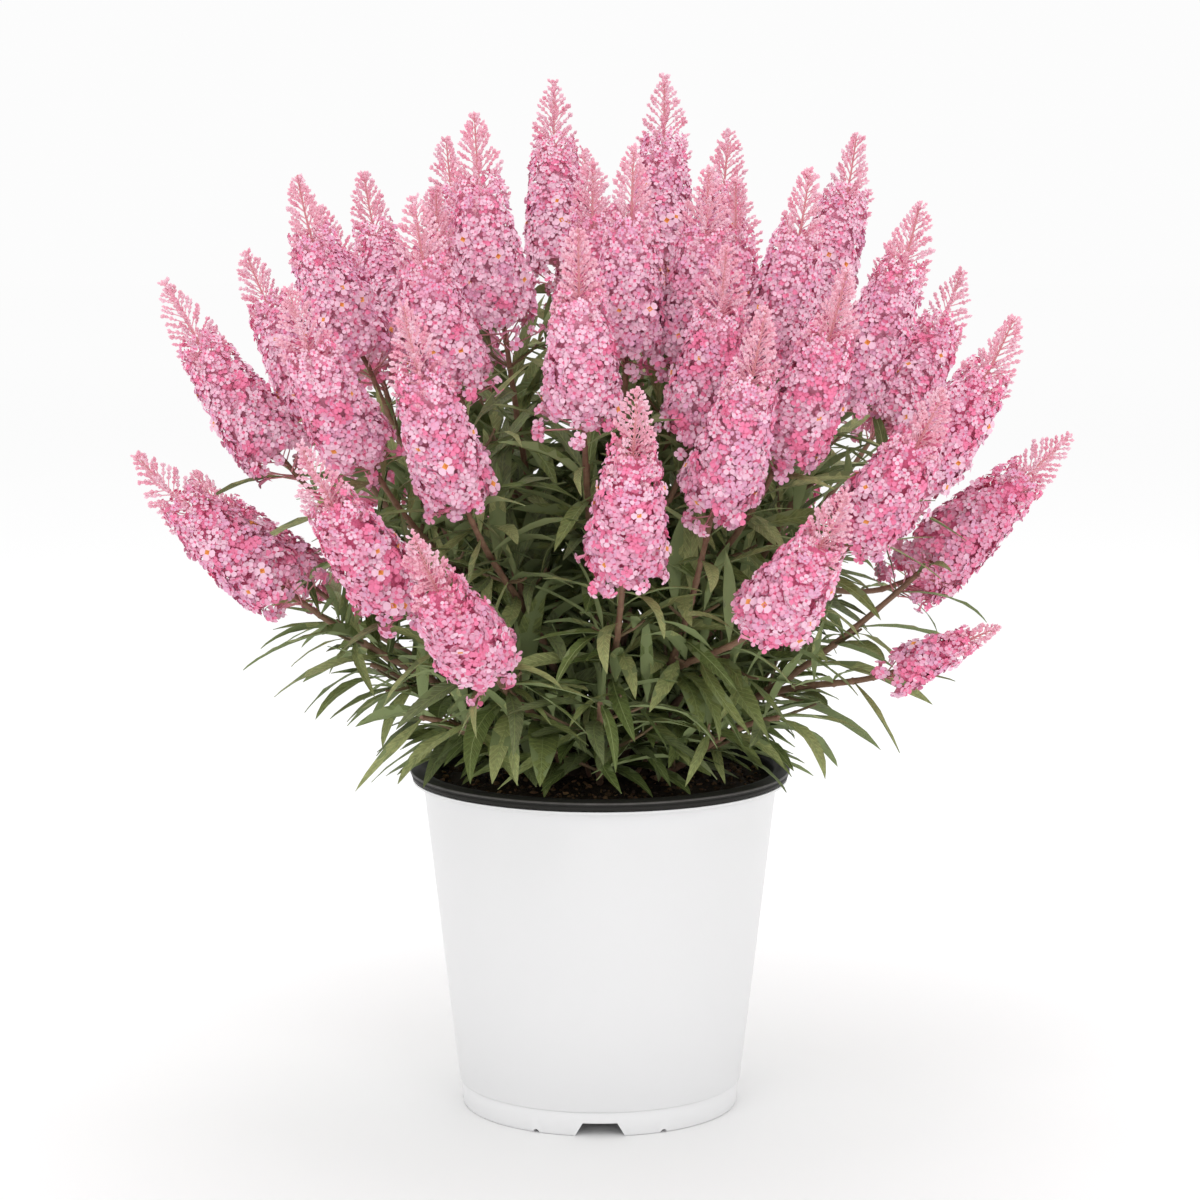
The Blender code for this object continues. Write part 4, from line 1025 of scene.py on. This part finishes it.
# Leaves far out take the pale young finish more often: painted light on the outer leaves.
shades = np.where(rng.random(len(lengths)) < np.interp(far_out, *LEAF_LIT_PALE_SHARE), 3, shades)
small = lengths < LEAF_SMALL
for name, chosen, rows in (("leaves", free & ~small, range(len(LEAF_STATIONS))),
                           ("small_leaves", free & small, SMALL_LEAF_ROWS)):
    stations = LEAF_STATIONS[rows]
    skin, kinds = leaf_skins(lines[chosen][:, rows], sides[chosen][:, rows], uppers[chosen][:, rows],
                             half_widths[chosen], stations)
    shade = np.repeat(shades[chosen], len(kinds))
    kind = np.tile(kinds, chosen.sum())
    leaves = Heap()
    leaves.add(skin, np.choose(kind, [shade, 4, 5]))
    blades = leaves.piece(name, leaf_finishes, crease=50.0)
    across = np.broadcast_to([-1.0, 0.0, 0.0, 1.0, 0.0], (chosen.sum(), len(stations), 5))
    down = np.broadcast_to((lengths[chosen][:, None] * stations)[..., None], across.shape)
    on_blade = np.stack([across, down], axis=-1).reshape(-1, 2)
    corners = np.empty(len(blades.data.loops), dtype=np.int32)
    blades.data.loops.foreach_get("vertex_index", corners)
    blades.data.uv_layers.new(name="blade").data.foreach_set("uv", on_blade[corners].reshape(-1))
    belongs(blades, "leafy", *mass_names, *leafy_names)


# A flower spike is a cone of some hundreds of small flowers. Each flower is a slender tube that
# opens in four round lobes. Some of the lower ones are fully open and show an orange eye.
FLOWERS_PER_SPIKE = 515
COUNTED_LENGTH = 0.120          # on a spike of full width and this length
OPEN_FOOT = 0.035
OPEN_TOP = 0.72                 # flowers are open up to this share of the spike
FLOWER_RADIUS = 0.0034
EYED_SHARE = 0.022
EYED_BETWEEN = (0.08, 0.5)
EYED_SIZE = 1.45
EYED_PROUD = 0.0024
HEM = 0.060                     # no open flowers below this share, and the hem swings
HEM_SWING = 0.028
FLOWERS_PER_BUNCH = 7.5
BUNCH_RADIUS = 0.0066
BUNCH_RELIEF = 0.0030
STRAY = 0.0011                  # how far flowers stray up and down from an even spread
DEPTH_SPREAD = 0.0009
DEEPEST = 0.0030
SUNK_FROM = 0.0012              # flowers deeper than this are sunk, and are a deeper pink as painted shade
HANGING_BUNCHES = 9
HANGING_REACH = 0.0052          # from a hanging stalk's end to its flowers
SPIKES_PER_PIECE = 12
TURN_STEP = math.pi * (3.0 - math.sqrt(5.0))
FINE_SIZE = 0.87                # the flowers of a pale spike are smaller,
FINE_COUNT = 1.24               # there are more of them,
FINE_DEPTH = 0.36               # and they stand more evenly
FLOWER_BENDS = ((0.03, -0.08, 0.40), (0.16, 0.26, 0.30), (-0.10, -0.30, 0.40), (0.10, 0.02, 0.35))
BEND_SHARES = (0.36, 0.20, 0.18, 0.26)
LOW_SHADES = np.array([[0.14, 0.46, 0.26, 0.14], [0.10, 0.48, 0.30, 0.12], [0.13, 0.40, 0.22, 0.25]])
HIGH_SHADES = np.array([[0.76, 0.14, 0.02, 0.08], [0.68, 0.22, 0.03, 0.07], [0.70, 0.10, 0.02, 0.18]])
rng = np.random.default_rng(41)


def flower_shape(shoulder, tip, throat, tube):
    """Four round lobes about a throat. Kinds: 0-3 the lobes, 4 the throat, 5 the tube behind."""
    verts = [(0.0, 0.0, -throat), *circle(4, 0.38, start=45.0)]
    for lobe in range(4):
        for reach, turn, lift in ((0.86, -34.0, shoulder), (1.02, -13.0, tip), (1.02, 13.0, tip),
                                  (0.86, 34.0, shoulder)):
            turn = math.radians(90.0 * lobe + turn)
            verts.append((reach * math.cos(turn), reach * math.sin(turn), lift))
    verts.append((0.0, 0.0, -2.3))
    faces, kinds = [], []
    for lobe in range(4):
        left, right = 1 + (lobe + 3) % 4, 1 + lobe
        a, b, c, d = range(5 + 4 * lobe, 9 + 4 * lobe)
        faces += [(left, a, b), (left, b, c), (left, c, right), (c, d, right), (0, left, right)]
        kinds += [lobe] * 4 + [4]
        if tube:
            faces.append((right, left, 21))
            kinds.append(5)
    return (np.array(verts), np.array(faces)), np.array(kinds)


def spike_surface(heights):
    """Radius and outward slope of the spike's outline at heights, as shares."""
    below, radius, above = (np.interp(heights + step, SPIKE_HEIGHTS, SPIKE_OUTLINE)
                            for step in (-0.02, 0.0, 0.02))
    return radius, (above - below) / 0.04


def spread_over(count, spike):
    """Heights, as shares, that cover the spike's surface evenly when turned by the golden angle."""
    heights = np.linspace(OPEN_FOOT, OPEN_TOP, 300)
    radius, slope = spike_surface(heights)
    area = np.cumsum(radius * np.hypot(1.0, slope * spike.width / spike.length))
    return np.interp((np.arange(count) + 0.5) / count, (area - area[0]) / (area[-1] - area[0]), heights)


def add_flowers(heap, places, ways, sizes, shades, eyed, sunk, tube=False):
    """Flowers in their spray's pink, the sunk ones a deeper pink as painted shade, the eyed ones pale."""
    form = rng.choice(4, len(places), p=BEND_SHARES)
    form = np.where(eyed, 0, form)
    for number, bends in enumerate(FLOWER_BENDS):
        mine = np.flatnonzero(form == number)
        count = len(mine)
        if count == 0:
            continue
        shape, kinds = flower_shape(*bends, tube)
        rolls = rng.uniform(*ANY_ROLL, count)
        skin = stand(shape, places[mine], ways[mine], rolls, sizes[mine], sizes[mine])
        other = rng.integers(0, 4, (count, 4))
        lobes = np.where(rng.random((count, 4)) < 0.22, other, shades[mine, None])
        # Sunk flowers mostly take the rose finish: painted shade.
        lobes = np.where(sunk[mine, None] & (rng.random((count, 1)) < 0.7), 2, lobes)
        lobes = np.where(eyed[mine, None], 0, lobes)
        throats = np.where(eyed[mine], 5, 4)[:, None]
        finishes = np.concatenate([lobes, throats, np.full((count, 1), 6)], axis=1)
        heap.add(skin, finishes[:, kinds].reshape(-1))


def velvety(name, colour, roughness=0.6, grain=0.0012, depth=0.00012, specular=0.2, velvet=0.4):
    return finish_of(name, colour, roughness, grain, depth, specular=specular, velvet=velvet)


flower_finishes = [velvety(f"petal_{name}", colour, specular=0.25) for name, colour in (
    ("pale", (0.935, 0.610, 0.745)), ("pink", (0.855, 0.405, 0.565)), ("rose", (0.900, 0.245, 0.420)),
    ("lilac", (0.835, 0.435, 0.620)))]
flower_finishes += [velvety("throat_rose", (0.880, 0.250, 0.420)),
                    velvety("eye_orange", (0.870, 0.400, 0.120), velvet=0.0),
                    velvety("tube_rose", (0.860, 0.350, 0.490), roughness=0.65)]
pieces = []
hanging = []
for number, spike in enumerate(spikes):
    if number % SPIKES_PER_PIECE == 0:
        pieces.append((Heap(), []))
    heap, names = pieces[-1]
    names.append(f"mass_{spike.bough}")
    length, width, paler = spike.length, spike.width, spike.paler
    fullness = length * width / (COUNTED_LENGTH * SPIKE_HALF_WIDTH)
    count = int(FLOWERS_PER_SPIKE * (1.0 + (FINE_COUNT - 1.0) * paler) * fullness)
    even = 1.0 + (FINE_DEPTH - 1.0) * paler
    heights = spread_over(count, spike)
    turns = TURN_STEP * np.arange(count) + rng.normal(0.0, 0.10, count)
    heights = heights + rng.normal(0.0, STRAY, count) / length
    hem = HEM + HEM_SWING * (np.sin(2.0 * turns + number) + np.sin(5.0 * turns + 2.3 * number))
    heights, turns = heights[heights > hem], turns[heights > hem]
    count = len(heights)
    radius, slope = spike_surface(heights)
    bunches = int(count / FLOWERS_PER_BUNCH)
    bunch_heights = spread_over(bunches, spike)
    bunch_turns = TURN_STEP * np.arange(bunches) + 0.9
    middles = spike.at(bunch_heights, bunch_turns, spike_surface(bunch_heights)[0] * width)
    apart = spike.at(heights, turns, radius * width)[:, None] - middles[None]
    nearest = np.linalg.norm(apart, axis=2).argmin(axis=1)
    from_middle = apart[np.arange(count), nearest] / BUNCH_RADIUS
    proud = BUNCH_RELIEF * (1.0 - np.minimum((from_middle ** 2).sum(axis=1), 1.2))
    depth = even * (np.minimum(rng.exponential(DEPTH_SPREAD, count), DEEPEST) - proud)
    eyed = (rng.random(count) < EYED_SHARE) & (heights > EYED_BETWEEN[0]) & (heights < EYED_BETWEEN[1])
    depth = np.where(eyed, -EYED_PROUD, depth)
    places = spike.at(heights, turns, radius * width - depth)
    face_way = spike.out(turns) - spike.along * np.clip(slope * width / length, -1.0, 0.3)[:, None]
    loose = rng.normal(0.0, 1.0, (count, 3)) * np.where(eyed, 0.10, 0.20)[:, None]
    ways = unit(unit(face_way) + 0.62 * from_middle + spike.along * 0.18 + loose)
    young = np.clip((heights - 0.50) / 0.22, 0.0, 1.0)
    sizes = FLOWER_RADIUS * (1.16 - 0.24 * heights / OPEN_TOP - 0.26 * young)
    sizes *= (1.0 + (FINE_SIZE - 1.0) * paler) * rng.uniform(0.88, 1.12, count)
    sizes *= np.where(eyed, EYED_SIZE, 1.0)
    # High spikes take the paler mix and low ones the rosier: painted light from above.
    shares = (1.0 - paler) * LOW_SHADES[number % 3] + paler * HIGH_SHADES[number % 3]
    bunch_shades = rng.choice(4, bunches, p=shares)
    shades = np.where(rng.random(count) < 0.6, bunch_shades[nearest], rng.choice(4, count, p=shares))
    # Sunk flowers get painted shade, and fewer do on the paler high spikes.
    sunk = (depth > SUNK_FROM * even) & (rng.random(count) > 0.8 * paler)
    add_flowers(heap, spike.bowed(places), ways, sizes, shades, eyed, sunk)
    for index in range(HANGING_BUNCHES):
        out = spike.out(2.0 * math.pi * index / HANGING_BUNCHES + rng.uniform(-0.4, 0.4))
        start = spike.foot - spike.along * rng.uniform(0.002, 0.012)
        end = spike.foot + spike.along * rng.uniform(-0.006, 0.010) + out * rng.uniform(0.45, 0.88) * width
        hanging.append((start, end))
        bunch = rng.integers(2, 6)
        spread = unit(unit(end - start) + rng.normal(0.0, 0.65, (bunch, 3)))
        no = np.zeros(bunch, dtype=bool)
        sizes = FLOWER_RADIUS * rng.uniform(0.95, 1.22, bunch)
        add_flowers(heap, end + spread * HANGING_REACH, spread, sizes, rng.choice(4, bunch, p=shares), no, no,
                    tube=True)
for number, (heap, names) in enumerate(pieces):
    blossom = heap.piece(f"blossom_{number + 1}", flower_finishes)
    belongs(blossom, "flowering", *sorted(set(names)))


# Between and above the open flowers stand the buds: deep rose clubs under the open ones, and
# above them little side sprays of dusky buds along the spike's own red stem, up to a tuft.
BUDS_BETWEEN = 30
BUD_DEPTHS = (0.0035, 0.0065)
BUD_LENGTH = 0.0036
BUD_RADIUS = 0.00102
SPRAY_FROM = 0.50
SPRAY_TO = 0.975
SPRAY_STEP = 0.0041
SPRAY_ARMS = 4
SPRAY_OUTLINE = (0.60, 0.70, 0.74, 0.74, 0.71, 0.68, 0.63, 0.59, 0.53, 0.43, 0.30, 0.20, 0.12)
SPRIG_RADIUS = 0.00042
SPRIG_SHORTEST = 0.0028
SPRIG_BARE = 0.0010             # a sprig has no buds nearer to its foot than this,
SPRIG_END = 0.0018              # nor nearer to its end
BUD_STEP = 0.0024
CORE_ROWS = 9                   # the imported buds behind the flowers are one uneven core
CORE_SIDES = 11
CORE_FROM = 0.09
CORE_TO = 0.60
TUFT = 12
STEM_ROWS = 22
STEM_TIP_RADIUS = 0.00045
STALKS = 46
STALK_RADIUS = 0.0005
HANGING_STALK_RADIUS = 0.0006
bud_shape = (np.concatenate([[[0.0, 0.0, 0.0]], circle(3, 1.1, 0.66), [[0.0, 0.0, 1.0]]]),
             np.array([(0, 2, 1), (0, 3, 2), (0, 1, 3), (4, 1, 2), (4, 2, 3), (4, 3, 1)]))
stalk_shape = (np.concatenate([circle(3), circle(3, 0.7, 1.0)]),
               np.array([(0, 1, 4), (0, 4, 3), (1, 2, 5), (1, 5, 4), (2, 0, 3), (2, 3, 5), (2, 1, 0),
                         (3, 4, 5)]))
buds = Heap()
stalks = Heap()
rng = np.random.default_rng(51)


def add_stalks(starts, ends, radius, kind):
    arms = ends - starts
    stalks.add(stand(stalk_shape, starts, unit(arms), 0.0, radius, np.linalg.norm(arms, axis=1)), kind)


for number, spike in enumerate(spikes):
    length, width, along, paler = spike.length, spike.width, spike.along, spike.paler
    heights = spread_over(BUDS_BETWEEN, spike)
    turns = TURN_STEP * np.arange(BUDS_BETWEEN) + 1.7
    reach = spike_surface(heights)[0] * width - rng.uniform(*BUD_DEPTHS, BUDS_BETWEEN)
    ways = unit(spike.out(turns) + along * 0.4 + rng.normal(0.0, 0.3, (BUDS_BETWEEN, 3)))
    long = 1.9 * BUD_LENGTH
    buds.add(stand(bud_shape, spike.bowed(spike.at(heights, turns, reach)), ways,
                   rng.uniform(*ANY_ROLL, BUDS_BETWEEN), long * 0.22, long), 3)
    rows = np.linspace(CORE_FROM, CORE_TO, CORE_ROWS)[:, None]
    reach = np.interp(rows, SPIKE_HEIGHTS, SPIKE_OUTLINE) * width
    reach = reach * np.linspace(0.91, 0.62 + 0.10 * paler, CORE_ROWS)[:, None]
    reach = reach * rng.uniform(0.93, 1.05, (CORE_ROWS, CORE_SIDES))
    core = spike.at(rows, round_about(CORE_SIDES), reach).reshape(-1, 3)
    core = np.concatenate([core, [spike.at(CORE_FROM - 0.03), spike.at(CORE_TO + 0.04)]])
    # High spikes get the paler core: painted light, as with their flowers.
    buds.add((spike.bowed(core), ring_faces(CORE_ROWS, CORE_SIDES)), 5 if paler > 0.5 else 4)
    starts, sprigs, reaches = [], [], []
    roll = rng.uniform(0.0, 0.5 * math.pi)
    for step, height in enumerate(np.arange(SPRAY_FROM, SPRAY_TO, SPRAY_STEP / length)):
        lean = math.radians(56.0 - 20.0 * (height - SPRAY_FROM) / (1.0 - SPRAY_FROM))
        for arm in range(SPRAY_ARMS):
            turn = roll + 2.0 * math.pi * arm / SPRAY_ARMS + 0.06 * step + rng.normal(0.0, 0.12)
            tilt = lean + rng.normal(0.0, 0.06)
            room = np.interp(height + 0.06, SPIKE_HEIGHTS, SPRAY_OUTLINE) * width * rng.uniform(0.94, 1.08)
            starts.append(spike.at(height))
            sprigs.append(spike.out(turn) * math.sin(tilt) + along * math.cos(tilt))
            reaches.append(max(room / math.sin(tilt), SPRIG_SHORTEST))
    starts, sprigs = spike.bowed(np.array(starts)), np.array(sprigs)
    stalks.add(stand(stalk_shape, starts, sprigs, 0.0, SPRIG_RADIUS, reaches), 1)
    for start, way, reach in zip(starts, sprigs, reaches):
        pairs = np.arange(max(0.38 * reach, SPRIG_BARE), reach - SPRIG_END, BUD_STEP)
        turns = np.tile([0.0, 180.0], len(pairs)) + np.repeat(90.0 * np.arange(len(pairs)), 2)
        pairs = np.repeat(pairs, 2)
        square = side_of(np.broadcast_to(way, (len(pairs), 3)), turns + rng.uniform(-15.0, 15.0, len(pairs)))
        ways = np.concatenate([unit(way + square * rng.uniform(0.20, 0.36, (len(pairs), 1))), way[None]])
        places = start + way * np.append(pairs, reach - BUD_STEP)[:, None]
        long = BUD_LENGTH * rng.uniform(0.8, 1.15, len(places)) * (0.75 + 0.25 * min(reach / 0.010, 1.0))
        shade = rng.choice(3, p=[0.45, 0.35, 0.20])
        buds.add(stand(bud_shape, places, ways, rng.uniform(*ANY_ROLL, len(places)),
                       BUD_RADIUS * rng.uniform(0.85, 1.15, len(places)), long), shade)
    ways = unit(along + rng.normal(0.0, 0.28, (TUFT, 3)))
    long = BUD_LENGTH * rng.uniform(0.8, 1.1, TUFT)
    places = spike.tip - along * (0.0040 + 0.004 * rng.random((TUFT, 1)))
    buds.add(stand(bud_shape, places, ways, rng.uniform(*ANY_ROLL, TUFT), BUD_RADIUS, long), 0)
    stem = spike.bowed(spike.at(np.linspace(0.08, 0.985, STEM_ROWS)))
    radii = np.linspace(SHOOT_TIP_RADIUS, STEM_TIP_RADIUS, STEM_ROWS)
    stalks.add(limb_skin(stem, radii, 5, 0.05, 500 + number), 0)
    heights = spread_over(STALKS, spike)
    turns = TURN_STEP * np.arange(STALKS) + 0.6
    ends = spike.bowed(spike.at(heights, turns, spike_surface(heights)[0] * width - 0.006))
    add_stalks(spike.bowed(spike.at(np.maximum(heights - 0.06, -0.01))), ends, STALK_RADIUS, 1)
add_stalks(*np.array(hanging).transpose(1, 0, 2), HANGING_STALK_RADIUS, 0)
bud_finishes = [velvety(f"bud_{name}", colour, 0.65, 0.0008, 0.0001) for name, colour in (
    ("dusky", (0.885, 0.495, 0.590)), ("pale", (0.905, 0.600, 0.690)), ("rose", (0.875, 0.415, 0.525)),
    ("deep", (0.820, 0.250, 0.390)))]
bud_finishes += [velvety(name, colour, 0.7, 0.0014, 0.0008, specular=0.15) for name, colour in (
    ("packed_buds", (0.925, 0.235, 0.420)), ("packed_buds_pale", (0.945, 0.430, 0.590)))]
belongs(buds.piece("buds", bud_finishes), "flowering", *mass_names)
stalk_finishes = [finish_of(name, colour, 0.6, grain=0.0008, depth=0.0001, specular=0.3)
                  for name, colour in (("spike_stem_red", (0.680, 0.300, 0.320)),
                                       ("spray_stem_pink", (0.860, 0.460, 0.530)))]
belongs(stalks.piece("spike_stems", stalk_finishes, crease=60.0), "flowering", *mass_names)


# The bush stands on a pale floor in soft studio light: an even white surround, and three
# broad lamps, one in front above the left of the picture, a weaker one to its right, one behind.
# The floor's tone is darker near the pot: a painted shadow.
FLOOR_RADIUS = 9.0
FLOOR_SIDES = 96
FLOOR_TONES = ((0.10, 0.875), (0.17, 0.895), (0.26, 0.935), (0.45, 0.975), (1.2, 0.970), (2.0, 0.950),
               (3.5, 0.980), (6.0, 0.995))    # distance from the pot's axis, and tone; the dark tones near the pot are a painted shadow
SURROUND = 0.975
floor_finish = finish_of("floor_with_painted_shadow", (0.995, 0.995, 0.995), 0.9, specular=0.0)
floor_nodes = floor_finish.node_tree.nodes
far = add_node(floor_finish, "VectorMath", {0: floor_nodes["Texture Coordinate"].outputs["Object"]},
               operation="LENGTH")
share = add_node(floor_finish, "Math", {0: far.outputs["Value"], 1: FLOOR_RADIUS}, operation="DIVIDE")
# The floor's tone by distance from the axis, with a painted shadow near the pot.
floor_painted_shadow = add_node(floor_finish, "ValToRGB", {"Fac": share.outputs["Value"]})
tones = floor_painted_shadow.color_ramp.elements
tones[1].position = FLOOR_TONES[0][0] / FLOOR_RADIUS
tones[1].color = (FLOOR_TONES[0][1],) * 3 + (1.0,)
tones.remove(tones[0])
for reach, tone in FLOOR_TONES[1:]:
    tones.new(reach / FLOOR_RADIUS).color = (tone, tone, tone, 1.0)
feed(floor_finish, floor_nodes["Principled BSDF"], {"Base Color": floor_painted_shadow.outputs["Color"]})
floor = make_piece("floor", circle(FLOOR_SIDES, FLOOR_RADIUS), [list(range(FLOOR_SIDES))], [floor_finish])
surround = bpy.data.worlds.new("white_surround")
surround.use_nodes = True
feed(surround, surround.node_tree.nodes["Background"], {"Color": (1.0, 1.0, 1.0, 1.0), "Strength": SURROUND})
bpy.context.scene.world = surround


def lamp(name, place, target, size, power):
    light = bpy.data.lights.new(name, "AREA")
    light.shape = "DISK"
    light.size = size
    light.energy = power
    held = bpy.data.objects.new(name, light)
    bpy.context.scene.collection.objects.link(held)
    held.location = place
    aim = unit(np.array(target) - np.array(place))
    held.rotation_euler = (math.acos(-aim[2]), 0.0, math.atan2(aim[1], aim[0]) - math.pi / 2.0)


lamp("front_lamp", (-0.6, -1.9, 2.5), (0.0, 0.0, 0.35), 1.0, 9.5)
lamp("fill_lamp", (0.9, -2.3, 1.5), (0.0, 0.0, 0.38), 1.2, 6.0)
lamp("back_lamp", (0.2, 1.3, 2.1), (0.0, 0.0, 0.2), 1.6, 8.0)
bpy.context.scene.view_settings.view_transform = "Standard"


# The camera stands 2.2 m in front of the pot's axis at the height of the bush's top, and it is
# tipped down a little. Its long lens keeps the bush and the pot in their true proportions.
PICTURE_WIDTH = 36.0
FOCAL_LENGTH = 110.7
CAMERA_PLACE = (0.0, -2.2, 0.622)
TIPPED_DOWN = 8.1
eye = bpy.data.cameras.new("camera")
eye.sensor_width = PICTURE_WIDTH
eye.lens = FOCAL_LENGTH
camera = bpy.data.objects.new("camera", eye)
bpy.context.scene.collection.objects.link(camera)
camera.location = CAMERA_PLACE
camera.rotation_euler = (math.radians(90.0 - TIPPED_DOWN), 0.0, 0.0)
bpy.context.scene.camera = camera
